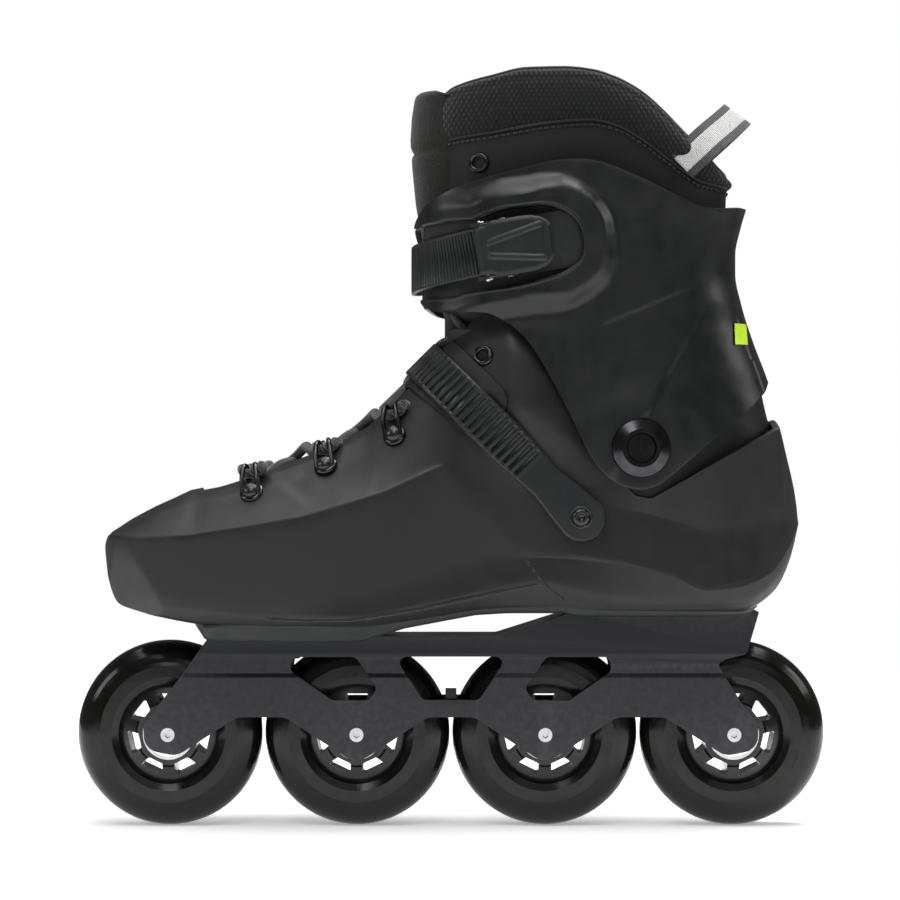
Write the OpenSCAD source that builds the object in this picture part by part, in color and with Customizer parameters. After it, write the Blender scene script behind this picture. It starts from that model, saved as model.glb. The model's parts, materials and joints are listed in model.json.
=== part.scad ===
// Inline skate for the left foot: a hinged-cuff boot bolted to a four-wheel frame.
// +X points to the outer side of the foot, -Y to the toe and +Z up. The origin lies on
// the ground, on the wheels' mid-plane, halfway between the first and the last axle.

/* [Wheels] */
// Diameter of a wheel
wheel_d = 80; // [76:1:80]
// Distance between neighbouring axles
wheel_pitch = 81; // [81:0.5:82]
// Width of a tyre
tyre_w = 24; // [22:0.5:24]
// Outer diameter of a hub
hub_d = 43; // [42:1:46]
// Number of windows in a hub
hub_windows = 7; // [5:1:8]

/* [Bearings] */
// Outer diameter of a bearing
bearing_d = 22; // [22:0.5:23]
// Width of a bearing
bearing_w = 7; // [6.5:0.5:7]
// Balls in a bearing
ball_count = 7; // [5:1:7]
// Diameter of an axle's shank
axle_d = 8; // [7:0.5:8]

/* [Frame] */
// Half of the frame's width at the walls
wall_x = 16.5; // [16.5:0.5:18]
// Thickness of a wall
wall_t = 3.3; // [2.5:0.1:3.3]
// Height of the front deck above the ground
deck_front_z = 82.4; // [82:0.2:83]
// Height of the rear deck above the ground
deck_rear_z = 93; // [92.5:0.5:94]

/* [Boot] */
// Thickness of the shell's wall
shell_t = 4.5; // [4:0.1:4.5]
// Thickness of the liner's padding
liner_t = 6; // [5:0.5:7]
// Squareness of the shell's cross-section
shell_n = 2.8; // [2.6:0.1:2.8]

/* [Cuff] */
// Distance of the cuff's pivot behind the origin
pivot_y = 79.6; // [79:0.2:80]
// Height of the cuff's pivot
pivot_z = 163; // [162:0.5:164]
// Thickness of the cuff's wall
cuff_t = 4.2; // [3.8:0.1:4.2]
// Radius of the pivot's sleeve
sleeve_r = 8; // [7:0.5:9]

/* [Straps] */
// Width of the ankle strap
ankle_w = 20; // [18:0.5:20]
// Width of the instep strap
instep_w = 15; // [13:0.5:15]
// Distance between neighbouring teeth of a strap
tooth_pitch = 3.4; // [3:0.2:4]

/* [Hidden] */
$fn = 64;
gap = 0.02;                       // between pieces that touch
run = 0.05;                       // radial clearance of a piece that turns
far = 400;                        // longer than the whole skate
wheel_r = wheel_d / 2;
axle_y = [for (i = [-1.5:1:1.5]) i * wheel_pitch];
bearing_r = bearing_d / 2;
race_in_r = 5.75;                 // outer radius of an inner race
race_out_r = 9.72;                // inner radius of an outer race
ball_r = 1.95;
ball_track_r = (race_in_r + race_out_r) / 2;
bearing_x = [-tyre_w / 2, tyre_w / 2 - bearing_w];
thread_r = 3;                     // axle thread and bolt shank
wall_in_x = wall_x - wall_t;
hub_face = tyre_w / 2;
deck_t = 4.4;
bolt_y = [-71, 94];               // the two frame bolts, 165 mm apart
bolt_deck = [deck_front_z, deck_rear_z];
pivot_face_x = 44.5;              // outer face of the shell's pivot boss
cuff_face_x = pivot_face_x + 0.4; // inner face of the cuff at the pivot
cuff_out_x = 49.6;                // outer face of the cuff at the pivot
flex_min = -3;
flex_max = 7;
instep_screw = [54.5, 134];       // [y, z]
instep_rise = 94.3;               // from that screw to the strap's crown, along the strap
instep_x = 46.2;                  // half of the strap loop's width
ankle_screw = [58, 252];
strap_t = 2.4;
cuff_n = 2.8;
cuff_gap = 13;                    // half of the cuff's front opening
ankle_tilt = 9;
ankle_yaw = 9;
ankle_origin = [46, 33, 248.4];
hook_yz = [[-84.2, 144.8], [-52.9, 156], [-23.8, 169.1]];
eyelet_yz = [13.6, 202];

// Rows of the foot shell: [y, lowest z, highest z, half width, sideways shift]
shell_rows = [
    [-148.6, 112, 124, 17, -4], [-146, 102, 127, 26, -3.5], [-140, 95, 130.5, 33, -3],
    [-128, 91.5, 137, 40, -2.5], [-112, 88.8, 144, 45, -2], [-85, 88, 150, 49, -1],
    [-60, 88, 160, 50, 0], [-36, 88.5, 170, 48.5, 0], [-19, 89, 184, 46.5, 0], [0, 90, 203, 44, 0],
    [16, 91, 216, 42.8, 0], [45, 93.1, 222, 42, 0], [80, 93.1, 222, 42, 0], [105, 93.1, 215, 41, 0],
    [124, 94, 200, 37, 0], [134, 99, 188, 32, 0], [140.5, 106, 171, 27, 0], [145, 115, 155, 21, 0],
    [148.5, 124, 142, 13, 0], [150, 129, 134, 6, 0]];
// Rows of the cuff: [z, foremost y, rearmost y, half width]
cuff_rows = [[136, -16, 148, 46], [163, -16, 146, 46.4], [192, -16, 136.5, 46.2], [210, -15.5, 130, 46],
    [224, -13.5, 125.5, 45.8], [238, -13, 122.6, 45.8], [246, -13.5, 122.8, 46], [258, -16.5, 125.2, 46.6],
    [267, -16.8, 127.8, 47.2], [290, -15, 133, 48.5]];
// Rows of the liner's collar, as the cuff's
collar_rows = [[150, 14, 120, 32], [190, 9, 118, 33], [212, 4, 118.5, 36], [235, -4, 117, 39],
    [262, -6, 118.5, 40.6], [290, -7, 120, 41], [330, -7, 121, 40]];
// Front of the tongue from its top to the toe: [y, z]
tongue_front = [[-15, 312], [-15.5, 288], [-14, 262], [-9, 244], [-5, 231], [-1, 218], [-1, 207],
    [-8.5, 196], [-19, 184.5], [-34, 166.5], [-48, 161], [-72, 150.5], [-90, 143.5], [-103, 139]];

// Shared outlines, forms and places.

// Turns an outline of [y, z] points into a slab centred on the mid-plane
module side(width) {
    rotate([90, 0, 90]) linear_extrude(width, center = true) children();
}

// Keeps a lofted body as one mesh
module as_mesh() {
    resize([0, 0, 0]) children();
}

function unit(v) = v / norm(v);
function turn(v) = [-v[1], v[0]];
// Corners [x, y, radius] of an outline, each rounded by an arc
function rounded(c, steps = 5) = [for (i = [0:len(c) - 1])
    let (p = [c[i][0], c[i][1]],
        a = c[(i + len(c) - 1) % len(c)], b = c[(i + 1) % len(c)],
        u = unit([a[0], a[1]] - p), v = unit([b[0], b[1]] - p),
        half = acos(max(-1, min(1, u * v))) / 2, r = c[i][2])
    if (r == 0) p
    else let (o = p + unit(u + v) * r / sin(half), s = p + u * r / tan(half) - o,
        e = p + v * r / tan(half) - o, a0 = atan2(s[1], s[0]),
        sweep = ((atan2(e[1], e[0]) - a0 + 540) % 360) - 180)
        for (k = [0:steps]) o + r * [cos(a0 + sweep * k / steps), sin(a0 + sweep * k / steps)]];
function mirrored(c) = [for (i = [len(c) - 1:-1:0]) [-c[i][0], c[i][1], c[i][2]]];
// The line beside a path, at a distance to its left
function beside(path, d) = [for (i = [0:len(path) - 1])
    path[i] + d * turn(unit(path[min(i + 1, len(path) - 1)] - path[max(i - 1, 0)]))];
function reversed(path) = [for (i = [len(path) - 1:-1:0]) path[i]];
// Outline of a band between two distances beside a path
function band(path, d0, d1) = concat(beside(path, d0), reversed(beside(path, d1)));
function signed_pow(c, p) = sign(c) * pow(abs(c), p);
// Closed superellipse: half width across, lo to hi along
function oval(lo, hi, half, n, count) = [for (i = [0:count - 1]) let (a = 360 * (i + 0.5) / count)
    [half * signed_pow(cos(a), 2 / n), (lo + hi) / 2 + (hi - lo) / 2 * signed_pow(sin(a), 2 / n)]];
// Arch of a superellipse, from angle a0 to a1
function arch(half, rise, n, a0, a1, count) = [for (i = [0:count]) let (a = a0 + (a1 - a0) * i / count)
    [half * signed_pow(cos(a), 2 / n), rise * signed_pow(sin(a), 2 / n)]];

// Skin through rings of points that run anticlockwise as seen from the last ring
module loft(rings) {
    n = len(rings[0]);
    m = len(rings);
    polyhedron([for (r = rings) each r],
        concat([[for (j = [0:n - 1]) j]], [[for (j = [n - 1:-1:0]) (m - 1) * n + j]],
            [for (i = [0:m - 2], j = [0:n - 1]) let (a = i * n + j, b = i * n + (j + 1) % n)
                each [[a, a + n, b + n], [a, b + n, b]]]));
}

// Foot shell's outer form, drawn in by an inset
module foot_form(inset) {
    rows = [for (r = shell_rows) if (r[2] - r[1] > 2 * inset + 2 && r[3] > inset + 2) r];
    loft([for (r = rows) [for (p = oval(r[1] + inset, r[2] - inset, r[3] - inset, shell_n, 36))
        [r[4] - p[0], r[0] * (1 - inset / 150), p[1]]]]);
}

// Upright form through rows of [z, foremost y, rearmost y, half width], drawn in by an inset
module upright_form(rows, inset, n) {
    loft([for (r = rows) [for (p = oval(r[1] + inset, r[2] - inset, r[3] - inset, n, 44))
        [p[0], p[1], r[0]]]]);
}

// The same rows with the first and last moved out, for cutting past both ends
function reaching(rows, below, above) = [for (i = [0:len(rows) - 1]) let (r = rows[i])
    [r[0] - (i == 0 ? below : 0) + (i == len(rows) - 1 ? above : 0), r[1], r[2], r[3]]];

function row_value(y, k) = lookup(y, [for (r = shell_rows) [r[0], r[k]]]);
// Distance of the shell's skin from the mid-plane at a place on its side
function shell_x(y, z) = let (b = row_value(y, 1), t = row_value(y, 2),
    q = min(1, abs(2 * z - b - t) / (t - b))) row_value(y, 3) * pow(1 - pow(q, shell_n), 1 / shell_n);

// Round helpers along the axle's direction
module disc_x(x0, x1, r) {
    translate([x0, 0, 0]) rotate([0, 90, 0]) cylinder(h = x1 - x0, r = r);
}
module ring_x(x0, x1, r_in, r_out) {
    difference() {
        disc_x(x0, x1, r_out);
        disc_x(x0 - 1, x1 + 1, r_in);
    }
}
module spin_x(outline) {
    rotate([0, 90, 0]) rotate_extrude($fn = 96) polygon(outline);
}
module at_axle(i) {
    translate([0, axle_y[i - 1], wheel_r]) children();
}
module both_sides() {
    children();
    mirror([1, 0, 0]) children();
}

// Frame: two walls under a stepped deck.

end_lug = [[-103.5, 82.4, 1], [-115.5, 65.6, 30], [-131.8, 44.5, 6], [-131.5, 33.8, 7],
    [-117.6, 31, 8], [-91.7, 47.6, 8]];
mid_lug = [[-71, 47.6, 8], [-40.5, 27.5, 9], [-10, 47.6, 8]];
rear_end = [[91.7, 47.6, 8], [117.6, 31, 8], [131.5, 33.8, 7], [131.8, 44.5, 6], [124.5, 53.8, 12],
    [114.5, 70.2, 1.5], [118, 72.6, 2], [126.6, 74.8, 2.5], [132, 92.9, 1]];
frame_outline = concat([[132, deck_rear_z, 0.4], [53, deck_rear_z, 6], [19.7, deck_front_z, 6]],
    [[-103.5, deck_front_z, 1]], [for (i = [1:5]) end_lug[i]], mid_lug, mirrored(mid_lug),
    [for (i = [0:7]) rear_end[i]]);
end_window = [[-67.4, 73.5, 2], [-41, 73.5, 3], [-31.5, 60, 3], [-35.4, 54.8, 3], [-50.8, 54.8, 5],
    [-69.2, 67.6, 3]];
mid_window = [[-24.5, 73.7, 3], [24.5, 73.7, 3], [12, 55, 3], [-12, 55, 3]];
// Across the frame: a wall's outer face with its shallow waist, up to the deck's edge
wall_section = [[wall_x, 20], [wall_x, 64.6], [wall_x - 1.1, 66.4], [wall_x - 1.1, 70.8],
    [wall_x + 0.3, 72.6], [wall_x + 1.5, 75], [wall_x + 1.5, 100]];
channel = [[-140, 0], [-140, deck_front_z - deck_t], [21, deck_front_z - deck_t],
    [54, deck_rear_z - deck_t], [140, deck_rear_z - deck_t], [140, 0]];

module frame() color([0.05, 0.05, 0.055]) difference() {
    union() {
        difference() {
            side(2 * wall_x + 6) polygon(rounded(frame_outline));
            side(2 * wall_in_x) polygon(channel);
            both_sides() rotate([90, 0, 0]) linear_extrude(far, center = true)
                polygon(concat(wall_section, [[wall_x + 20, 100], [wall_x + 20, 20]]));
            side(far) polygon(rounded(end_window));
            side(far) polygon(rounded(mirrored(end_window)));
            side(far) polygon(rounded(mid_window));
        }
        both_sides() for (i = [1:4]) at_axle(i) disc_x(hub_face + 0.1, wall_in_x + 0.5, 6);
        translate([-wall_in_x - 0.5, -2.4, 54.6]) cube([2 * wall_in_x + 1, 4.8, 3.4]);
    }
    for (i = [1:4]) at_axle(i) {
        disc_x(0, far, thread_r + gap);
        disc_x(-far, 0, axle_d / 2 + gap);
    }
    for (i = [2:3]) at_axle(i) disc_x(-wall_in_x, wall_in_x, wheel_r + 1.5);
    for (i = [0:1]) translate([0, bolt_y[i], 50]) cylinder(h = 60, r = thread_r + 0.2);
}

// A frame bolt points up, and its head sits under the deck
module frame_bolts() color([0.55, 0.56, 0.58]) for (i = [0:1]) translate([0, bolt_y[i], bolt_deck[i]])
    difference() {
        union() {
            translate([0, 0, -deck_t - 6]) cylinder(h = 5, r = 5.5);
            translate([0, 0, -deck_t - 2]) cylinder(h = deck_t + 10, r = thread_r);
        }
        translate([0, 0, -deck_t - 7]) cylinder(h = 4, r = 2.6, $fn = 6);
    }

module frame_washers() color([0.6, 0.6, 0.62]) for (i = [0:1])
    translate([0, bolt_y[i], bolt_deck[i] - deck_t - 0.98]) difference() {
        cylinder(h = 0.96, r = 7.5);
        translate([0, 0, -1]) cylinder(h = 3, r = thread_r + 0.2);
    }

insert_r = 8;                     // flange of a threaded insert in the shell's floor
module insert_form(grow) {
    for (i = [0:1]) translate([0, bolt_y[i], bolt_deck[i] + 2]) {
        cylinder(h = 6.5, r = 4.5 + grow);
        translate([0, 0, 4 - grow]) cylinder(h = 2.5 + grow, r = insert_r + grow);
    }
}
module mount_inserts() color([0.6, 0.6, 0.6]) difference() {
    insert_form(0);
    for (i = [0:1]) translate([0, bolt_y[i], bolt_deck[i]]) cylinder(h = 20, r = thread_r + gap);
}

module axles() color([0.75, 0.75, 0.77]) for (i = [1:4]) at_axle(i) difference() {
    union() {
        disc_x(-wall_x - 2.6, -wall_x - 0.02, 6.2);
        disc_x(-wall_x - 0.5, hub_face, axle_d / 2 - gap);
        disc_x(hub_face - 1, wall_x - 0.2, thread_r);
    }
    translate([-wall_x - 3, 0, 0]) rotate([0, 90, 0]) cylinder(h = 2.4, r = 2.4, $fn = 6);
    translate([wall_x - 2.4, 0, 0]) rotate([0, 90, 0]) cylinder(h = 3, r = 1.5, $fn = 6);
}

module axle_spacers() color([0.7, 0.7, 0.72]) for (i = [1:4]) at_axle(i)
    ring_x(bearing_x[0] + bearing_w + gap, bearing_x[1] - gap, axle_d / 2 + gap, race_in_r - 0.3);

module bearing_inner_races() color([0.75, 0.75, 0.76]) for (i = [1:4], x = bearing_x) at_axle(i)
    ring_x(x, x + bearing_w, axle_d / 2 + gap, race_in_r);

// Wheels: a cast tyre on a windowed hub, with two bearings.

hub_r = hub_d / 2;
tyre_side = hub_face - 1.2;
tyre_outline = [[hub_r + gap, tyre_side], [hub_r + gap, -tyre_side], [hub_r + 3, -hub_face],
    [hub_r + 8, -hub_face], for (a = [-80:10:80]) [wheel_r - 11 + 11 * cos(a), 11.7 * sin(a)],
    [hub_r + 8, hub_face], [hub_r + 3, hub_face]];
module tyre(i) color([0.03, 0.03, 0.03]) at_axle(i) spin_x(tyre_outline);

hub_outline = [[hub_r, -8], [hub_r, 8], [hub_r - 3, 9], [bearing_r + 3.4, hub_face - 1.6],
    [bearing_r + 2.4, hub_face - 0.4], [bearing_r + gap, hub_face - 0.4],
    [bearing_r + gap, bearing_x[1] - gap], [bearing_r - 1.2, bearing_x[1] - gap],
    [bearing_r - 1.2, -bearing_x[1] + gap], [bearing_r + gap, -bearing_x[1] + gap],
    [bearing_r + gap, -hub_face + 0.4], [bearing_r + 2.4, -hub_face + 0.4],
    [bearing_r + 3.4, -hub_face + 1.6], [hub_r - 3, -9]];
window_in = bearing_r + 1.6;
window_out = hub_r - 4.2;
window_half = 18;                 // half of a window's angle
module hub(i) color([0.05, 0.05, 0.05]) at_axle(i) difference() {
    spin_x(hub_outline);
    for (k = [0:hub_windows - 1]) rotate([360 * k / hub_windows, 0, 0]) rotate([90, 0, 90])
        linear_extrude(far, center = true) polygon(rounded([
            [-window_in * sin(window_half * 0.8), window_in, 0.6],
            [window_in * sin(window_half * 0.8), window_in, 0.6],
            [window_out * sin(window_half), window_out, 0.8],
            [-window_out * sin(window_half), window_out, 0.8]]));
}

module bearing_outer_races(i) color([0.78, 0.78, 0.8]) for (x = bearing_x) at_axle(i)
    ring_x(x, x + bearing_w, race_out_r, bearing_r);
module bearing_balls(i) color([0.8, 0.8, 0.8]) for (x = bearing_x, k = [0:ball_count - 1])
    at_axle(i) rotate([360 * k / ball_count, 0, 0]) translate([x + bearing_w / 2, 0, ball_track_r])
        sphere(ball_r);
module bearing_shields(i) color([0.7, 0.7, 0.72]) at_axle(i)
    for (x = bearing_x, end = [0.2, bearing_w - 0.6])
        ring_x(x + end, x + end + 0.4, race_in_r + 0.25, race_out_r - gap);

// Boot: moulded shell with its sole pads, and the soft parts inside.

rim = [[-170, 60], [-170, 190], [-19, 190], [-2, 200], [6, 211], [16, 215], [26, 222], [38, 214],
    [50, 200], [60, 180], [67, 164], [72, 150], [84.5, 141.7], [105.4, 153.5], [139.6, 171.7],
    [170, 175], [170, 60]];
collar_rim = [[20, 60], [20, 217], [50, 200], [64, 186], [95, 182], [120, 188], [134, 190],
    [170, 190], [170, 60]];
// Throat of the shell in plan: a slot that widens from the toes to the ankle
throat = [[0, -110], [9, -108], [15, -98], [19, -60], [24, -20], [30, 30], [30, 60], [0, 60]];
sole_pads = [[-104.5, deck_front_z], [-38.2, deck_front_z], [-28, 85.6], [-12, 88.7], [8, 91.4], [26, 93.2],
    [52, deck_rear_z], [123, deck_rear_z], [126.5, 95.5], [126.5, 108], [-110, 108], [-108, 88]];
collar_sink = 2.2;                // the collar lies this far inside the outer skin
pad_w = 52;
module throat_slot(shrink) {
    translate([0, 0, 118]) linear_extrude(far) offset(delta = -shrink)
        polygon(concat(throat, [for (p = reversed(throat)) [-p[0], p[1]]]));
}
// Filled outer form of the boot with its collar, grown by a clearance
module boot_form(grow) {
    intersection() {
        foot_form(-grow);
        side(far) polygon(rim);
    }
    intersection() {
        foot_form(collar_sink - grow);
        side(far) polygon(collar_rim);
    }
}
// Room taken by the shell's wall, grown by a clearance
module shell_wall(grow) {
    difference() {
        boot_form(grow);
        foot_form(shell_t + grow);
        throat_slot(grow);
    }
}
module shell_skin() as_mesh() difference() {
    union() {
        boot_form(0);
        intersection() {
            side(pad_w) polygon(sole_pads);
            foot_form(-8);
        }
    }
    foot_form(shell_t);
    throat_slot(0);
}
// Copies of the boot's forms as they stand from the cuff, over its travel
module swept(steps = 3) {
    for (a = concat([flex_min], [for (k = [0:steps]) flex_max * k / steps]))
        at_pivot() rotate([-a, 0, 0]) translate([0, -pivot_y, -pivot_z]) children();
}
// Places the outer side's hooks, with Z pointing out of the skin
module at_hooks() {
    for (p = hook_yz) translate([shell_x(p[0], p[1]) - 0.6, p[0], p[1]]) rotate([0, 52, 0]) children();
}
module at_eyelet() {
    translate([shell_x(eyelet_yz[0], eyelet_yz[1]) - 0.6, eyelet_yz[0], eyelet_yz[1]])
        rotate([0, 76, 0]) children();
}
module at_pivot() {
    translate([0, pivot_y, pivot_z]) children();
}
module at_instep_screw() {
    translate([0, instep_screw[0], instep_screw[1]]) children();
}
module boot_shell() color([0.09, 0.09, 0.09]) difference() {
    union() {
        shell_skin();
        both_sides() at_pivot() disc_x(37.8, pivot_face_x, 13.5);
    }
    both_sides() {
        at_pivot() {
            disc_x(20, far, 3.3);
            disc_x(20, 41.2, 9.4);
        }
        at_instep_screw() disc_x(20, far, 2.5);
        at_hooks() {
            translate([0, 0, -10]) cylinder(h = 20, r = 1.9 + gap);
            cylinder(h = 8, r = 8.4);
        }
        at_eyelet() {
            translate([0, 0, -12]) cylinder(h = 20, r = 2.8);
            cylinder(h = 8, r = 4.6);
        }
    }
    insert_form(gap);
    for (i = [0:1]) translate([0, bolt_y[i], 70]) cylinder(h = 40, r = 4.5 + gap);
}

heel_pad = [78, 122, 98.2, 102];  // from y to y, from z to z
module heel_pad_form(grow) {
    translate([-20 - grow, heel_pad[0] - grow, heel_pad[2] - grow])
        cube([40 + 2 * grow, heel_pad[1] - heel_pad[0] + 2 * grow, heel_pad[3] - heel_pad[2] + 2 * grow]);
}
// Heel pad with a hole over the insert
module shock_absorber() color([0.15, 0.15, 0.16]) difference() {
    as_mesh() difference() {
        heel_pad_form(0);
        shell_wall(0.2);
    }
    translate([0, bolt_y[1], deck_rear_z]) cylinder(h = 20, r = insert_r + 0.6);
}

module insole() color([0.2, 0.2, 0.22]) as_mesh() intersection() {
    foot_form(shell_t + liner_t + 1.2);
    side(far) polygon([[-128, 60], [-128, 103.5], [0, 104.5], [60, 108], [128, 108], [128, 60]]);
}

tongue_t = 9;
tongue_w = 28;                    // width of the lower tongue
tongue_band = band(tongue_front, 0.01, tongue_t);
liner_top = [[-40, 304], [-15.2, 310.5], [-11.7, 314], [0, 317.4], [15.6, 320.9], [30.8, 323.9],
    [48.1, 323.9], [65.5, 321.3], [76.8, 317.4], [82.8, 313.5], [91.5, 307], [100.2, 299.7],
    [119.5, 282], [140, 265]];
split_z = pivot_z + 2;
// The liner's collar starts above a line that leaves room for the cuff's flex
collar_outline = concat([[140, split_z + 5], [pivot_y, split_z], [-10, split_z + 16], [-40, split_z + 22]],
    liner_top);
collar_n = 2.6;
module liner_foot() color([0.08, 0.08, 0.08]) as_mesh() difference() {
    intersection() {
        foot_form(shell_t + 0.6);
        side(far) polygon([[-170, 60], [-170, 128], [-103, 128], [-72, 139], [-48, 149.5], [-34, 153],
            [-12, 162], [170, 162], [170, 60]]);
    }
    foot_form(shell_t + liner_t + 0.6);
    heel_pad_form(0.3);
}
module collar_form(grow) {
    intersection() {
        upright_form(collar_rows, -grow, collar_n);
        side(far) offset(delta = grow) polygon(collar_outline);
    }
}
module liner_collar() color([0.08, 0.08, 0.08]) as_mesh() difference() {
    collar_form(0);
    upright_form(reaching(collar_rows, 5, 5), liner_t, collar_n);
    side(56) polygon(concat([[-60, 330]], beside(tongue_front, tongue_t + 1), [[-110, 100], [-200, 100]]));
    swept() shell_wall(0.5);
    swept(12) tongue(tongue_w + 2, 100, 208.5, 1);
}
module tongue(width, z0, z1, grow = 0) {
    intersection() {
        side(width) offset(delta = grow) polygon(tongue_band);
        side(far) polygon([[-100, z0], [-100, z1], [20, z1], [20, z0]]);
    }
}
// The lower tongue is pressed in by the instep strap's pad
module tongue_foot() color([0.1, 0.1, 0.1]) as_mesh() difference() {
    tongue(tongue_w, 100, 207);
    instep_band(instep_path(pad_inset, 28, 152), pad_len + 0.6, -pad_t, pad_t);
}
// The upper tongue bulges out between the cuff's front edges
module tongue_collar() color([0.1, 0.1, 0.1]) as_mesh() {
    intersection() {
        tongue(50, 223, 330);
        upright_form(reaching(cuff_rows, 16, 40), cuff_t + 0.4, cuff_n);
    }
    tongue(2 * cuff_gap - 1, 223, 330);
}

// Webbing loop over the back of the liner, from one side of the collar to the other
loop_half = [[38.6, 97, 282.4], [37, 100.4, 285.6], [33.8, 105.2, 290], [27, 110.6, 295.2],
    [14, 118.3, 302], [5, 123, 306.4]];
loop_path = concat(loop_half, [[0, 124.4, 307.8]], [for (p = reversed(loop_half)) [-p[0], p[1], p[2]]]);
loop_w = 14;                      // width of the webbing
loop_t = 1.3;
loop_lean = unit([0, 0.8, -0.6]); // across the webbing
module pull_loop() color([0.5, 0.5, 0.5]) as_mesh() difference() {
    loft([for (i = [0:len(loop_path) - 1]) let (p = loop_path[i],
        t = unit(loop_path[min(i + 1, len(loop_path) - 1)] - loop_path[max(i - 1, 0)]),
        w = unit(loop_lean - t * (loop_lean * t)), n = cross(w, t))
        [for (c = [[-1, -1], [-1, 1], [1, 1], [1, -1]]) p + c[0] * w * loop_w / 2 + c[1] * n * loop_t / 2]]);
    collar_form(0.1);
}

// Laces run from hook to hook over the tongue, each run lying clear above the last
lace_r = 1.5;
lace_rise = [8.5, 8.5, 14];       // height of the laces over the hooks
function hook_point(i, s, lift) = [s * 17, hook_yz[i][0],
    hook_yz[i][1] + lace_rise[i] + lift * 2.1 * lace_r];
module rod(a, b, r) {
    d = b - a;
    translate(a) rotate([0, acos(d[2] / norm(d)), atan2(d[1], d[0])]) cylinder(h = norm(d), r = r, $fn = 24);
}
module laces() color([0.12, 0.12, 0.12]) {
    for (i = [0:2]) rod(hook_point(i, -1, 0), hook_point(i, 1, 0), lace_r);
    for (i = [0:1]) {
        rod(hook_point(i, -1, 1), hook_point(i + 1, 1, 1), lace_r);
        rod(hook_point(i, 1, 2), hook_point(i + 1, -1, 2), lace_r);
    }
}

module lace_hooks() color([0.1, 0.1, 0.1]) both_sides() at_hooks() {
    difference() {
        translate([0, 0, 0.02]) cylinder(h = 0.8, r = 3.6);
        translate([0, 0, -1]) cylinder(h = 3, r = 1.9 + gap);
    }
    for (y = [-3.2, 3.2]) translate([-3.6, y, 0.82]) rotate([90, 0, 0]) rotate_extrude(angle = 180)
        translate([2.4, 0]) circle(0.8, $fn = 16);
}
module lace_rivets() color([0.1, 0.1, 0.1]) both_sides() at_hooks() rotate_extrude() polygon([
    [0, -4], [1.9, -4], [1.9, 0.84], [2.6, 0.84], [2.5, 1.7], [1.6, 2.3], [0, 2.5]]);
module shell_eyelets() color([0.12, 0.12, 0.12]) both_sides() at_eyelet() rotate_extrude() polygon([
    [1.9, -2.8], [2.75, -2.8], [2.75, 0.05], [4.3, 0.05], [4.1, 0.9], [3.2, 1.4], [2.1, 1]]);

// Straps and ratchet buckles.

// Local frame of the instep strap: X across the foot, Y up along the strap
module at_instep_strap() {
    translate([0, instep_screw[0], instep_screw[1]]) rotate([135, 0, 0]) children();
}
function instep_path(inset, a0, a1) = arch(instep_x - inset, instep_rise - inset, 3.4, a0, a1, 40);
function lengths(path) = [for (i = 0, s = 0; i < len(path);
    s = s + (i < len(path) - 1 ? norm(path[i + 1] - path[i]) : 0), i = i + 1) s];
// Point at a length along a path
function at_length(path, l) = let (s = lengths(path), n = len(path) - 1)
    [for (k = [0, 1]) lookup(l, [for (i = [0:n]) [s[i], path[i][k]]])];
module instep_band(path, width, d0, d1) {
    at_instep_strap() linear_extrude(width, center = true) polygon(band(path, d0, d1));
}
instep_loop = concat([[instep_x, -8]], instep_path(0, 1, 177.8));
tooth_w = 1.5;                    // width of a tooth along the strap
first_tooth = 16;                 // from the start of the toothed length
teeth = 14;
module instep_strap() color([0.07, 0.07, 0.07]) difference() {
    as_mesh() difference() {
        union() {
            instep_band(instep_loop, instep_w, -strap_t / 2, strap_t / 2);
            for (k = [0:teeth - 1]) instep_band([for (s = [0, tooth_w])
                at_length(instep_path(0, 20, 90), first_tooth + k * tooth_pitch + s)],
                instep_w - 4, -strap_t / 2 - 1, 0);
        }
        difference() {
            boot_form(0.1);
            throat_slot(0.1);
        }
    }
    at_instep_screw() disc_x(0, far, 2.5);
}
pad_inset = 2.4;                  // from the strap's loop in to the pad's
pad_len = 30;
pad_t = 0.9;                      // half of the pad's thickness
module instep_pad() color([0.06, 0.06, 0.06]) as_mesh() difference() {
    instep_band(instep_path(pad_inset, 28, 152), pad_len, -pad_t, pad_t);
    difference() {
        boot_form(0.3);
        throat_slot(0.3);
    }
}

module screw_x(x_seat, x_end, head_r, shank_r) {
    difference() {
        union() {
            disc_x(x_seat, x_seat + 2.2, head_r);
            disc_x(x_end, x_seat + 0.5, shank_r);
        }
        translate([x_seat + 1, 0, 0]) rotate([0, 90, 0]) cylinder(h = 3, r = 2, $fn = 6);
    }
}
module instep_strap_screw() color([0.1, 0.1, 0.1]) at_instep_screw()
    screw_x(instep_x + strap_t / 2 + 0.05, 38, 5, 2.4);

// Buckle in its own frame: +X out of the boot, -Y towards the incoming strap, Z across it
hinge_at = [6.4, -18];            // lever's pin
catch_at = [6.4, -9];             // catch's pin
pin_r = 1.3;
cheek_t = 1.5;
module buckle_cheeks(strap_w) {
    for (s = [-1, 1]) difference() {
        translate([0.4, -22.5, s > 0 ? strap_w / 2 + 0.5 : -strap_w / 2 - 0.5 - cheek_t])
            cube([8, 17, cheek_t]);
        for (p = [hinge_at, catch_at]) translate([p[0], p[1], -far / 2]) cylinder(h = far, r = pin_r + gap);
    }
}
module buckle_pins(strap_w) {
    for (p = [hinge_at, catch_at]) translate([p[0], p[1], -strap_w / 2 - 2.4])
        cylinder(h = strap_w + 4.8, r = pin_r);
}
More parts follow.
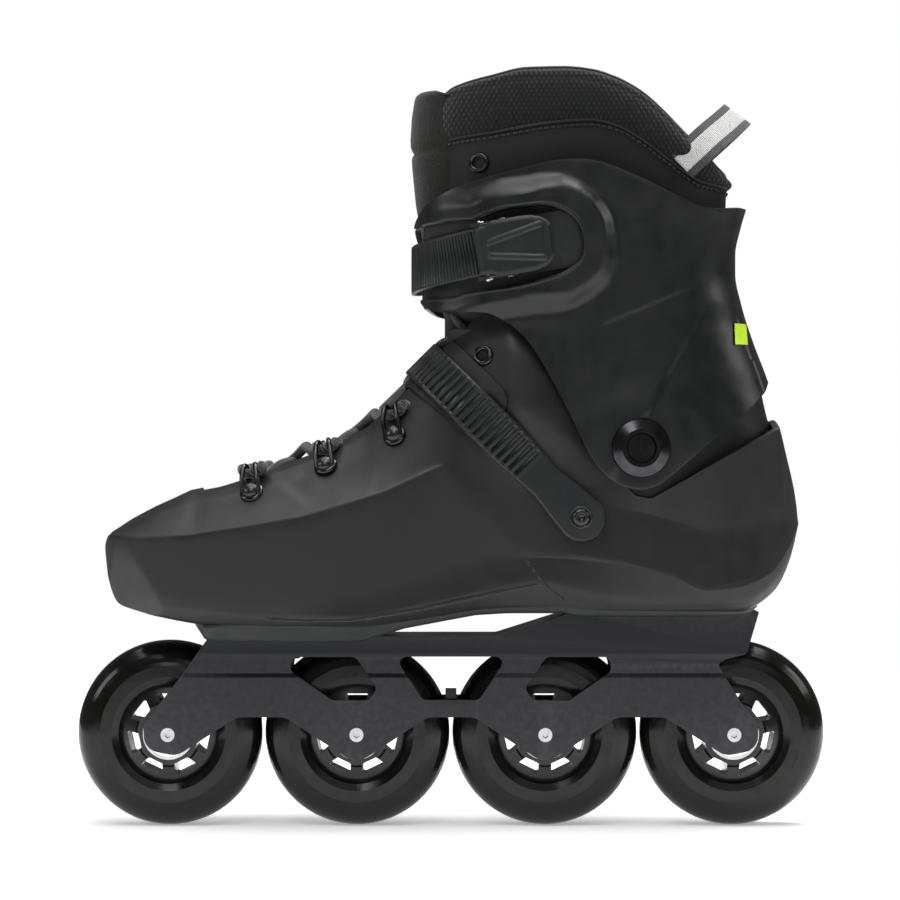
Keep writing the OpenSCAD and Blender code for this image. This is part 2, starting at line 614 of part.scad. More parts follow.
// Lever from the side, closed over its buckle: [x, y, radius]
lever_outline = [[6.6, -20.2, 0.5], [9.4, -20, 1.5], [10.6, -10, 8], [9.6, 8, 1.2], [8, 9.5, 0.6],
    [7.6, 6, 1], [9, -6, 1], [9, -14, 0.5], [7.6, -16, 0.5]];
module buckle_lever(strap_w) {
    w = strap_w + 0.4;
    difference() {
        union() {
            translate([hinge_at[0], hinge_at[1], -w / 2]) cylinder(h = w, r = 2.6);
            translate([0, 0, -w / 2]) linear_extrude(w) polygon(rounded(lever_outline));
        }
        translate([hinge_at[0], hinge_at[1], -far / 2]) cylinder(h = far, r = pin_r + run);
    }
}
module buckle_catch(strap_w) {
    w = strap_w - 0.6;
    difference() {
        union() {
            translate([catch_at[0], catch_at[1], -w / 2]) cylinder(h = w, r = 2.1);
            translate([0, 0, -w / 2]) linear_extrude(w) polygon([[5.4, -8], [7.4, -7.4], [6.4, 0],
                [4.6, 1.6], [4.7, 0]]);
        }
        translate([catch_at[0], catch_at[1], -far / 2]) cylinder(h = far, r = pin_r + run);
    }
}

module at_instep_buckle() {
    translate([-43.4, instep_screw[0], instep_screw[1]]) rotate([135, 0, 0]) rotate([0, 0, 180])
        translate([0, -24, 0]) children();
}
module instep_buckle_base() color([0.07, 0.07, 0.07]) difference() {
    at_instep_buckle() {
        translate([0.2, -22.5, -instep_w / 2 - 2]) cube([1.4, 54, instep_w + 4]);
        buckle_cheeks(instep_w);
    }
    instep_band(instep_loop, instep_w + 1, -strap_t / 2 - 0.1, strap_t / 2 + 0.1);
    mirror([1, 0, 0]) at_instep_screw() disc_x(0, far, 2.5);
}
module instep_buckle_lever() color([0.09, 0.09, 0.09]) at_instep_buckle() buckle_lever(instep_w);
module instep_buckle_catch() color([0.12, 0.12, 0.12]) at_instep_buckle() buckle_catch(instep_w);
module instep_buckle_pins() color([0.75, 0.75, 0.77]) at_instep_buckle() buckle_pins(instep_w);
module instep_buckle_screw() color([0.1, 0.1, 0.1]) mirror([1, 0, 0]) at_instep_screw()
    screw_x(45.05, 38, 4, 2.4);

// Cuff: it turns on the two pivots and carries the ankle strap.

cuff_outline = [[-30, 231], [-14.7, 230.7], [-11.3, 223.8], [-4, 220], [14.1, 220.8], [23.8, 216.6],
    [32.2, 209], [40.5, 195.8], [50.9, 176.4], [57.8, 162.5], [66.1, 151.4], [72, 146.8], [79.9, 145.2],
    [86, 147], [91, 151], [106, 164], [134, 188], [136, 193], [150, 194], [150, 268], [127.5, 266.8],
    [106.7, 263.2], [98.4, 267.4], [79.6, 277.8], [66, 282.5], [54.5, 284.4], [48.3, 284.1],
    [27.4, 279.9], [4.5, 273.7], [-10.2, 266.4], [-15.4, 259.1], [-30, 253.8]];
module cuff_skin() as_mesh() difference() {
    union() {
        intersection() {
            upright_form(cuff_rows, 0, cuff_n);
            side(far) polygon(cuff_outline);
        }
        both_sides() at_pivot() disc_x(43, cuff_out_x, 16.5);
    }
    upright_form(reaching(cuff_rows, 16, 10), cuff_t, cuff_n);
    swept() boot_form(0.5);
    translate([-cuff_gap, -60, 200]) cube([2 * cuff_gap, 80, 100]);
}
module cuff() color([0.1, 0.1, 0.1]) difference() {
    cuff_skin();
    both_sides() at_pivot() {
        disc_x(20, cuff_face_x, 15);
        disc_x(20, far, sleeve_r + run);
    }
    mirror([1, 0, 0]) translate([0, ankle_screw[0], ankle_screw[1]]) disc_x(30, far, 2.5);
    translate([0, ankle_screw[0], ankle_screw[1]]) disc_x(30, far, 2.5);
}

module cuff_pivot_bolts() color([0.12, 0.12, 0.12]) both_sides() at_pivot()
    screw_x(cuff_out_x + 0.6, 39, 5.6, 3);
// A dished washer whose sleeve carries the cuff
module cuff_pivot_washers() color([0.1, 0.1, 0.1]) both_sides() at_pivot() difference() {
    spin_x([[3.1, pivot_face_x + gap], [sleeve_r, pivot_face_x + gap], [sleeve_r, cuff_out_x + 0.1],
        [12.4, cuff_out_x + 0.1], [12, cuff_out_x + 1.2], [8, cuff_out_x + 3], [6.3, cuff_out_x + 3],
        [6, cuff_out_x + 0.5], [3.1, cuff_out_x + 0.5]]);
}
module cuff_pivot_nuts() color([0.6, 0.6, 0.6]) both_sides() at_pivot() difference() {
    disc_x(39.6, 41.1, 9.2);
    disc_x(30, 45, 3.05);
}

ankle_line = [[-40, 234.4], [-15, 239.2], [12, 245.1], [33, 248.4], [47, 250.6]];
// The buckle's base from the side, with a narrower end behind its screw
base_line = [[8, 244.4], [33, 248.4], [56, 252]];
base_half = ankle_w / 2 + 2;
base_outline = concat(beside(base_line, -base_half), [[63, 247.5], [63, 258.5]],
    reversed(beside(base_line, base_half)));
module ankle_layer(d0, d1, outline) as_mesh() intersection() {
    difference() {
        upright_form(cuff_rows, -d1, cuff_n);
        upright_form(reaching(cuff_rows, 16, 10), -d0, cuff_n);
    }
    side(far) polygon(outline);
}
module ankle_strap() color([0.07, 0.07, 0.07]) difference() {
    union() {
        difference() {
            ankle_layer(2, 4.2, band(ankle_line, -ankle_w / 2, ankle_w / 2));
            translate([-far, 47, 0]) cube(far * 2);
        }
        difference() {
            ankle_layer(1.7, 4.2, band([[30, 247.9], [ankle_screw[0] + 8, ankle_screw[1]]],
                1 - ankle_w / 2, ankle_w / 2 - 1));
            translate([0, -far, 0]) cube(far * 2);
        }
    }
    mirror([1, 0, 0]) translate([0, ankle_screw[0], ankle_screw[1]]) disc_x(30, far, 2.5);
}
module ankle_strap_screw() color([0.1, 0.1, 0.1]) mirror([1, 0, 0])
    translate([0, ankle_screw[0], ankle_screw[1]]) screw_x(50.9, 43, 4.6, 2.4);

module at_ankle_buckle() {
    translate(ankle_origin) rotate([ankle_tilt, 0, 0]) rotate([0, 0, -ankle_yaw]) children();
}
module ankle_buckle_base() color([0.07, 0.07, 0.07]) difference() {
    union() {
        difference() {
            ankle_layer(0.3, 1.7, base_outline);
            translate([-2 * far, -far, 0]) cube(far * 2);
            translate([-far, 11.4 - 2 * far, 0]) cube(far * 2);
        }
        at_ankle_buckle() buckle_cheeks(ankle_w);
    }
    translate([0, ankle_screw[0], ankle_screw[1]]) disc_x(30, far, 2.5);
}
module ankle_buckle_lever() color([0.09, 0.09, 0.09]) at_ankle_buckle() buckle_lever(ankle_w);
module ankle_buckle_catch() color([0.12, 0.12, 0.12]) at_ankle_buckle() buckle_catch(ankle_w);
module ankle_buckle_pins() color([0.75, 0.75, 0.77]) at_ankle_buckle() buckle_pins(ankle_w);
module ankle_buckle_screw() color([0.1, 0.1, 0.1]) translate([0, ankle_screw[0], ankle_screw[1]])
    screw_x(48.5, 43, 4, 2.4);

frame();
frame_bolts();
frame_washers();
mount_inserts();
axles();
axle_spacers();
bearing_inner_races();
tyre(1);  // tyre_1
tyre(2);  // tyre_2
tyre(3);  // tyre_3
tyre(4);  // tyre_4
hub(1);  // hub_1
hub(2);  // hub_2
hub(3);  // hub_3
hub(4);  // hub_4
bearing_outer_races(1);  // bearing_outer_races_1
bearing_outer_races(2);  // bearing_outer_races_2
bearing_outer_races(3);  // bearing_outer_races_3
bearing_outer_races(4);  // bearing_outer_races_4
bearing_balls(1);  // bearing_balls_1
bearing_balls(2);  // bearing_balls_2
bearing_balls(3);  // bearing_balls_3
bearing_balls(4);  // bearing_balls_4
bearing_shields(1);  // bearing_shields_1
bearing_shields(2);  // bearing_shields_2
bearing_shields(3);  // bearing_shields_3
bearing_shields(4);  // bearing_shields_4
boot_shell();
shock_absorber();
insole();
liner_foot();
liner_collar();
tongue_foot();
tongue_collar();
pull_loop();
laces();
lace_hooks();
lace_rivets();
shell_eyelets();
instep_strap();
instep_pad();
instep_strap_screw();
instep_buckle_base();
instep_buckle_lever();
instep_buckle_catch();
instep_buckle_pins();
instep_buckle_screw();
cuff();
cuff_pivot_bolts();
cuff_pivot_washers();
cuff_pivot_nuts();
ankle_strap();
ankle_strap_screw();
ankle_buckle_base();
ankle_buckle_lever();
ankle_buckle_catch();
ankle_buckle_pins();
ankle_buckle_screw();
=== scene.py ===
"""Inline skate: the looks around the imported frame.

Lengths in the shape functions are millimetres in the row frame (+X outer side, -Y toe, +Z up),
and turn into metres when a mesh or curve is made. "u" is the place along Y.
"""
import json
import math

import bpy
import numpy as np
from mathutils import Matrix, Vector

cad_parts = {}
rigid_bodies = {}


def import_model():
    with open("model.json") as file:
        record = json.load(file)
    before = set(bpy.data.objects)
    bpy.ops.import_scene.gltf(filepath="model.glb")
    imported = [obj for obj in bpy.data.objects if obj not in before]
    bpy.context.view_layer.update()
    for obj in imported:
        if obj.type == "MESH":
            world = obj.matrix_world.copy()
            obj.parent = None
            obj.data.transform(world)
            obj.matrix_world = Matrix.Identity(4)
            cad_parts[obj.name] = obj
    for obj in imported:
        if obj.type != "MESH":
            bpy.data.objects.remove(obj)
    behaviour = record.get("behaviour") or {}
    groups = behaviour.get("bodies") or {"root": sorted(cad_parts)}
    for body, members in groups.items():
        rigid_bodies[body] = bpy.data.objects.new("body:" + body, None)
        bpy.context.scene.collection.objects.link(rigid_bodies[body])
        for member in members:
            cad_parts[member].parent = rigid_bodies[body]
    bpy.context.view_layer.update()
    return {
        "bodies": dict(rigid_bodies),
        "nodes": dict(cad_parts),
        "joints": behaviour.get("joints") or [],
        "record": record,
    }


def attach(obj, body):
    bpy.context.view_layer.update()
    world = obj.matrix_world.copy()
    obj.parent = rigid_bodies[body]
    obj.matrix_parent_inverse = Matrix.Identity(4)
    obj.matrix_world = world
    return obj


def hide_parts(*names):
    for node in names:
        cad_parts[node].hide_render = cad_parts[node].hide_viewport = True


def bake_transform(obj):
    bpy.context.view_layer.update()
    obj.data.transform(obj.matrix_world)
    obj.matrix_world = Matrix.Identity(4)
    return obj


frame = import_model()
MM = 0.001
JOINTS = {j["name"]: j for j in frame["record"]["behaviour"]["joints"]}
PIVOT = [1000 * c for c in JOINTS["cuff_flex"]["pos_m"]]


# ---------------------------------------------------------------- shape helpers

def curve(*points):
    """Smooth function of one variable through points, with no overshoot between them."""
    x, y = (np.array(c, float) for c in zip(*points))
    d = np.diff(y) / np.diff(x)
    m = np.zeros(len(x))
    m[0], m[-1] = d[0], d[-1]
    for i in range(1, len(x) - 1):
        if d[i - 1] * d[i] > 0:
            m[i] = 2 * d[i - 1] * d[i] / (d[i - 1] + d[i])

    def value(q):
        q = np.clip(np.asarray(q, float), x[0], x[-1])
        i = np.clip(np.searchsorted(x, q) - 1, 0, len(x) - 2)
        h = x[i + 1] - x[i]
        t = (q - x[i]) / h
        return ((2 * t**3 - 3 * t**2 + 1) * y[i] + (t**3 - 2 * t**2 + t) * h * m[i]
                + (3 * t**2 - 2 * t**3) * y[i + 1] + (t**3 - t**2) * h * m[i + 1])

    return value


def line(*points):
    """Straight-line function of one variable through points."""
    x, y = (np.array(c, float) for c in zip(*points))
    return lambda q: np.interp(q, x, y)


def smoothstep(a, b, q):
    t = np.clip((np.asarray(q, float) - a) / (b - a), 0, 1)
    return t * t * (3 - 2 * t)


def oval(lo, hi, half, n, angle):
    """Point [x, y] of a superellipse at an angle, with 0 at +X and 90 degrees at the rear."""
    c, s = np.cos(angle), np.sin(angle)
    power = 2 / n
    return (half * np.sign(c) * np.abs(c)**power,
            (lo + hi) / 2 + (hi - lo) / 2 * np.sign(s) * np.abs(s)**power)


def signed_distance(points, polygon):
    """Distance from 2D points to a closed outline, negative inside."""
    p = np.asarray(points, float)
    poly = np.asarray(polygon, float)
    best = np.full(len(p), 1e9)
    inside = np.zeros(len(p), bool)
    for a, b in zip(poly, np.roll(poly, -1, 0)):
        ab = b - a
        t = np.clip(((p - a) @ ab) / (ab @ ab), 0, 1)
        best = np.minimum(best, np.linalg.norm(p - a - t[:, None] * ab, axis=1))
        crosses = (a[1] > p[:, 1]) != (b[1] > p[:, 1])
        with np.errstate(divide="ignore", invalid="ignore"):
            at = (b[0] - a[0]) * (p[:, 1] - a[1]) / (b[1] - a[1]) + a[0]
        inside ^= crosses & (p[:, 0] < at)
    return np.where(inside, -best, best)


def relax(grid):
    """Softens a grid of points [row, column, xyz] along both directions, with its borders held."""
    h = grid.copy()
    h[1:-1] += 0.25 * (grid[:-2] - 2 * grid[1:-1] + grid[2:])
    g = h.copy()
    g[:, 1:-1] += 0.25 * (h[:, :-2] - 2 * h[:, 1:-1] + h[:, 2:])
    g[0], g[-1], g[:, 0], g[:, -1] = grid[0], grid[-1], grid[:, 0], grid[:, -1]
    return g


def soften(path, rounds):
    """Rounds off a path in place, with its ends held."""
    for _ in range(rounds):
        path[1:-1] += 0.25 * (path[:-2] - 2 * path[1:-1] + path[2:])
    return path


def lengths(path):
    """Length along a path up to each of its points."""
    return np.concatenate([[0], np.cumsum(np.linalg.norm(np.diff(path, axis=0), axis=1))])


def directions(path):
    """Unit direction of a path at each of its points."""
    t = np.gradient(path, axis=0)
    return t / np.linalg.norm(t, axis=1)[:, None]


def resample(path, count):
    """Even points along a polyline."""
    p = np.asarray(path, float)
    s = lengths(p)
    q = np.linspace(0, s[-1], count)
    return np.stack([np.interp(q, s, p[:, k]) for k in range(p.shape[1])], 1)


def even_angles(form, count, limit_x):
    """Angles that leave even steps round a form, from its outer front edge to its inner one."""
    a = np.radians(np.linspace(-89.9, 269.9, 4001))
    x, y = form(a)
    first = np.argmax(x > limit_x)
    last = len(x) - np.argmax((x < -limit_x)[::-1]) - 1
    a, x, y = a[first:last + 1], x[first:last + 1], y[first:last + 1]
    s = lengths(np.stack([x, y], 1))
    return np.interp(np.linspace(0, s[-1], count), s, a)


# ---------------------------------------------------------------- making objects

def add_mesh(name, verts, faces, smooth=True):
    mesh = bpy.data.meshes.new(name)
    mesh.from_pydata([tuple(float(c) * MM for c in v) for v in verts], [], faces)
    mesh.validate()
    mesh.update()
    obj = bpy.data.objects.new(name, mesh)
    bpy.context.collection.objects.link(obj)
    for p in mesh.polygons:
        p.use_smooth = smooth
    return obj


def grid_faces(rows, cols, wrap=False, keep=None):
    faces = []
    for i in range(rows - 1):
        for j in range(cols if wrap else cols - 1):
            k = (j + 1) % cols
            if keep is None or keep(i, j):
                a = i * cols
                b = a + cols
                faces.append((a + j, a + k, b + k, b + j))
    return faces


def grid_mesh(name, grid, keep=None, flip=False):
    g = np.asarray(grid, float)
    faces = grid_faces(*g.shape[:2], keep=keep)
    if flip:
        faces = [f[::-1] for f in faces]
    return add_mesh(name, g.reshape(-1, 3), faces)


def ring_solid(name, rings):
    """Closed solid through rings of points."""
    g = np.asarray(rings, float)
    n, m = g.shape[:2]
    ends = [tuple(range(m))[::-1], tuple(range((n - 1) * m, n * m))]
    return add_mesh(name, g.reshape(-1, 3), grid_faces(n, m, wrap=True) + ends)


def modifier(obj, kind, **values):
    m = obj.modifiers.new(kind.lower(), kind)
    for key, value in values.items():
        setattr(m, key, value)
    return m


def bevel(obj, width, segments=2, angle=35):
    return modifier(obj, "BEVEL", width=width * MM, segments=segments, limit_method="ANGLE",
                    angle_limit=math.radians(angle), harden_normals=False)


def solid(obj, thickness, edge=0.8, offset=-1):
    """Gives a sheet its thickness and rounded rims."""
    modifier(obj, "SOLIDIFY", thickness=thickness * MM, offset=offset, use_even_offset=False)
    if edge:
        bevel(obj, edge, 3, 50)
    return obj


def join(name, objects):
    """One object out of several, with their modifiers applied."""
    verts, faces, mats, smooth = [], [], [], []
    slots = []
    graph = bpy.context.evaluated_depsgraph_get()
    for o in objects:
        e = o.evaluated_get(graph)
        m = e.to_mesh()
        first = len(verts)
        verts += [tuple(o.matrix_world @ v.co) for v in m.vertices]
        own = [s.material for s in o.material_slots] or [None]
        for mat in own:
            if mat not in slots:
                slots.append(mat)
        for p in m.polygons:
            faces.append([first + i for i in p.vertices])
            mats.append(slots.index(own[min(p.material_index, len(own) - 1)]))
            smooth.append(p.use_smooth)
        e.to_mesh_clear()
    mesh = bpy.data.meshes.new(name)
    mesh.from_pydata(verts, [], faces)
    mesh.polygons.foreach_set("material_index", mats)
    mesh.polygons.foreach_set("use_smooth", smooth)
    mesh.update()
    for mat in slots:
        mesh.materials.append(mat)
    for o in objects:
        bpy.data.objects.remove(o)
    obj = bpy.data.objects.new(name, mesh)
    bpy.context.collection.objects.link(obj)
    return obj


def tube_mesh(name, points, radius, closed=False, sides=10, radii=None):
    """Round cord as a mesh, with a frame that doesn't twist."""
    p = np.asarray(points, float)
    n = len(p)
    t = np.gradient(p, axis=0)
    if closed:
        t = np.roll(p, -1, 0) - np.roll(p, 1, 0)
    t /= np.linalg.norm(t, axis=1)[:, None]
    side = np.cross(t[0], [0.13, 0.21, 0.97])
    side /= np.linalg.norm(side)
    rings = []
    for i in range(n):
        side = side - t[i] * (side @ t[i])
        side /= np.linalg.norm(side)
        up = np.cross(t[i], side)
        r = radius * (radii[i] if radii is not None else 1)
        a = np.arange(sides) * 2 * math.pi / sides
        rings.append(p[i] + r * (np.cos(a)[:, None] * side + np.sin(a)[:, None] * up))
    if not closed:
        return ring_solid(name, rings)
    last = (n - 1) * sides
    joint = [(last + j, last + (j + 1) % sides, (j + 1) % sides, j) for j in range(sides)]
    return add_mesh(name, np.concatenate(rings), grid_faces(n, sides, wrap=True) + joint)


def prism(name, outline, depth0, depth1, place):
    """Solid between two depths over a 2D outline; place turns (a, b, depth) into a point."""
    n = len(outline)
    verts = [place(a, b, d) for d in (depth0, depth1) for a, b in outline]
    faces = [tuple(range(n))[::-1], tuple(range(n, 2 * n))]
    faces += [(j, (j + 1) % n, n + (j + 1) % n, n + j) for j in range(n)]
    return add_mesh(name, verts, faces, smooth=False)


def place_piece(obj, body, *nodes, slot=None, mat=None):
    """Material, replaced nodes and body of a finished piece. The slot argument is not used."""
    if mat is not None:
        obj.data.materials.clear()
        obj.data.materials.append(mat)
    if nodes:
        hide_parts(*nodes)
    if body:
        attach(obj, body)
    return obj


# ---------------------------------------------------------------- materials

class Look:
    """A node material built step by step around one Principled shader."""

    def __init__(self, name, color, rough, metallic=0.0, **inputs):
        self.mat = bpy.data.materials.new(name)
        self.mat.use_nodes = True
        self.nodes, self.links = self.mat.node_tree.nodes, self.mat.node_tree.links
        self.shader = self.nodes["Principled BSDF"]
        self.color, self.rough, self.height = None, None, None
        self.base = color
        self.set("Base Color", (*color, 1))
        self.set("Roughness", rough)
        self.set("Metallic", metallic)
        for key, value in inputs.items():
            self.set(key.replace("_", " "), value)
        self.coord = self.add("ShaderNodeTexCoord").outputs["Object"]

    def set(self, name, value):
        self.shader.inputs[name].default_value = value

    def add(self, kind, **values):
        node = self.nodes.new(kind)
        for key, value in values.items():
            setattr(node, key, value)
        return node

    def math(self, operation, a, b=None, clamp=False):
        node = self.add("ShaderNodeMath", operation=operation, use_clamp=clamp)
        for slot, value in zip(node.inputs, (a, b)):
            if isinstance(value, (int, float)):
                slot.default_value = value
            elif value is not None:
                self.links.new(value, slot)
        return node.outputs[0]

    def stretched(self, scale):
        node = self.add("ShaderNodeMapping")
        node.inputs["Scale"].default_value = scale
        self.links.new(self.coord, node.inputs["Vector"])
        return node.outputs[0]

    def noise(self, size_mm, detail=3.0, stretch=None, rough=0.5):
        node = self.add("ShaderNodeTexNoise")
        node.inputs["Scale"].default_value = 1 / (size_mm * MM)
        node.inputs["Detail"].default_value = detail
        node.inputs["Roughness"].default_value = rough
        self.links.new(self.stretched(stretch) if stretch else self.coord, node.inputs["Vector"])
        return node.outputs["Fac"]

    def cells(self, size_mm, feature="F1"):
        node = self.add("ShaderNodeTexVoronoi", feature=feature)
        node.inputs["Scale"].default_value = 1 / (size_mm * MM)
        self.links.new(self.coord, node.inputs["Vector"])
        return node.outputs["Distance"]

    def wave(self, size_mm, direction):
        """Regular ridges along a direction, one each size_mm, from 0 to 1."""
        dot = self.add("ShaderNodeVectorMath", operation="DOT_PRODUCT")
        self.links.new(self.coord, dot.inputs[0])
        dot.inputs[1].default_value = [c * 2 * math.pi / (size_mm * MM) for c in direction]
        s = self.math("SINE", dot.outputs["Value"])
        return self.math("ADD", self.math("MULTIPLY", s, 0.5), 0.5)

    def ramp(self, value, lo, hi, out_lo=0.0, out_hi=1.0):
        node = self.add("ShaderNodeMapRange")
        self.links.new(value, node.inputs["Value"])
        for name, v in (("From Min", lo), ("From Max", hi), ("To Min", out_lo), ("To Max", out_hi)):
            node.inputs[name].default_value = v
        return node.outputs[0]

    def tint(self, factor, color, amount=1.0):
        """Mixes a colour in where the factor is high."""
        node = self.add("ShaderNodeMix", data_type="RGBA")
        scaled = self.math("MULTIPLY", factor, amount, clamp=True)
        self.links.new(scaled, node.inputs["Factor"])
        if self.color:
            self.links.new(self.color, node.inputs["A"])
        else:
            node.inputs["A"].default_value = (*self.base, 1)
        node.inputs["B"].default_value = (*color, 1)
        self.color = node.outputs["Result"]
        self.links.new(self.color, self.shader.inputs["Base Color"])
        return self

    def roughness(self, value, lo, hi):
        self.links.new(self.ramp(value, 0, 1, lo, hi), self.shader.inputs["Roughness"])
        return self

    def bump(self, value, depth_mm):
        node = self.add("ShaderNodeBump")
        node.inputs["Distance"].default_value = depth_mm * MM
        self.links.new(value, node.inputs["Height"])
        if self.height:
            self.links.new(self.height, node.inputs["Normal"])
        self.height = node.outputs["Normal"]
        self.links.new(self.height, self.shader.inputs["Normal"])
        return self

    def worn_edges(self, color, amount, lo=0.52, hi=0.62):
        """Lighter, scuffed colour on outward corners."""
        geo = self.add("ShaderNodeNewGeometry").outputs["Pointiness"]
        scuff = self.math("MULTIPLY", self.ramp(geo, lo, hi), self.noise(2.5, 6))
        return self.tint(scuff, color, amount)


def moulded(name, color, rough=0.5, grain=0.35, depth=0.03, warm=None, coat=0.0):
    """Injection-moulded plastic: spark-eroded grain, cloudy sheen, rubbed corners."""
    m = Look(name, color, rough, Specular_IOR_Level=0.4, Coat_Weight=coat, Coat_Roughness=0.3)
    cloud = m.noise(38, 4)
    m.tint(m.ramp(cloud, 0.35, 0.7), warm or [c * 1.35 for c in color], 0.7)
    m.tint(m.ramp(m.cells(grain), 0.0, 0.6), [c * 1.5 for c in color], 0.35)
    m.roughness(m.ramp(m.noise(9, 5), 0.3, 0.7), rough - 0.07, rough + 0.07)
    m.bump(m.cells(grain), depth)
    m.bump(m.noise(grain * 2.2, 4), depth)
    m.worn_edges([min(1, c * 4 + 0.02) for c in color], 0.5)
    return m.mat


def anodised(name, color, rough):
    """Brushed and anodised aluminium."""
    m = Look(name, color, rough, metallic=0.55, Specular_IOR_Level=0.6)
    brush = m.noise(0.5, 3, stretch=(1, 0.03, 1))
    m.tint(m.ramp(m.noise(45, 2), 0.3, 0.75), [c * 1.25 for c in color], 0.5)
    m.roughness(brush, rough - 0.05, rough + 0.08)
    m.bump(brush, 0.004)
    m.bump(m.noise(0.25, 2), 0.004)
    m.worn_edges((0.35, 0.35, 0.37), 0.25, 0.56, 0.68)
    return m.mat


def urethane(name):
    """Cast tyre: smooth, with a cloudy sheen."""
    m = Look(name, (0.0035, 0.0034, 0.003), 0.16, Specular_IOR_Level=0.32, Coat_Weight=0.05,
             Coat_Roughness=0.08)
    m.tint(m.ramp(m.noise(14, 5), 0.45, 0.75), (0.0085, 0.008, 0.007), 0.8)
    m.roughness(m.ramp(m.noise(5, 6), 0.3, 0.75), 0.1, 0.27)
    m.bump(m.noise(3.2, 4), 0.03)
    m.bump(m.noise(0.4, 3), 0.006)
    return m.mat


def metal(name, color, rough, cloud=0.82):
    """Turned metal, clouded towards its colour times cloud."""
    m = Look(name, color, rough, metallic=1.0)
    m.tint(m.ramp(m.noise(4, 4), 0.4, 0.7), [c * cloud for c in color], 0.6)
    m.roughness(m.noise(0.6, 4), max(0.03, rough - 0.08), rough + 0.1)
    m.bump(m.noise(0.3, 3, stretch=(0.2, 1, 1)), 0.012)
    return m.mat


def cloth_weave(name, color, pitch, depth, light, sheen):
    """Knitted spacer mesh: rows of small raised loops, offset row by row."""
    m = Look(name, color, 0.85, Sheen_Weight=sheen, Sheen_Roughness=0.5, Specular_IOR_Level=0.3)
    a = m.wave(pitch, (0, 0.86, 0.5))
    b = m.wave(pitch, (0, 0.86, -0.5))
    c = m.wave(pitch * 1.05, (1, 0, 0.25))
    loops = m.math("MULTIPLY", m.math("MULTIPLY", a, b), m.math("ADD", m.math("MULTIPLY", c, 0.4), 0.6))
    m.tint(m.ramp(loops, 0.15, 0.8), light, 0.9)
    m.tint(m.ramp(m.noise(16, 3), 0.4, 0.7), [k * 1.3 for k in color], 0.3)
    m.bump(loops, depth)
    m.bump(m.noise(0.25, 4), 0.05)
    return m.mat


def leatherette(name, color, rough):
    """Synthetic leather with a fine creased grain."""
    m = Look(name, color, rough, Specular_IOR_Level=0.28, Sheen_Weight=0.05)
    m.tint(m.ramp(m.noise(22, 4), 0.35, 0.7), [c * 1.5 for c in color], 0.6)
    m.roughness(m.noise(6, 4), rough - 0.1, rough + 0.1)
    m.bump(m.cells(1.1, "DISTANCE_TO_EDGE"), 0.05)
    m.bump(m.noise(0.5, 4), 0.05)
    return m.mat


def brushed_knit(name, color):
    """Soft napped lining fabric."""
    m = Look(name, color, 0.95, Sheen_Weight=0.25, Sheen_Roughness=0.4, Specular_IOR_Level=0.2)
    m.tint(m.ramp(m.noise(0.9, 6, rough=0.7), 0.4, 0.68), [c * 2.4 + 0.005 for c in color], 0.8)
    m.bump(m.noise(1.4, 6, rough=0.7), 0.5)
    m.bump(m.noise(0.3, 3), 0.15)
    return m.mat


def webbing(name, color, pitch):
    """Flat woven tape."""
    m = Look(name, color, 0.8, Sheen_Weight=0.3, Specular_IOR_Level=0.3)
    across = m.wave(pitch, (0, 0.7, 0.7))
    along = m.wave(pitch * 0.8, (1, 0, 0))
    weave = m.math("MULTIPLY", across, m.math("ADD", m.math("MULTIPLY", along, 0.5), 0.5))
    m.tint(m.ramp(weave, 0.1, 0.8), [min(1, c * 1.5 + 0.01) for c in color], 0.8)
    m.bump(weave, 0.22)
    m.bump(m.noise(0.3, 3), 0.05)
    return m.mat


def braid(name, color, fleck):
    """Round braided lace: crossed strands with light flecks."""
    m = Look(name, color, 0.8, Sheen_Weight=0.4, Specular_IOR_Level=0.3)
    a = m.wave(1.15, (0.6, 0.55, 0.58))
    b = m.wave(1.15, (-0.6, 0.55, 0.58))
    strands = m.math("MAXIMUM", a, b)
    m.tint(m.ramp(m.math("MULTIPLY", a, b), 0.35, 0.8), fleck, 0.75)
    m.bump(strands, 0.3)
    m.bump(m.noise(0.25, 4), 0.08)
    return m.mat


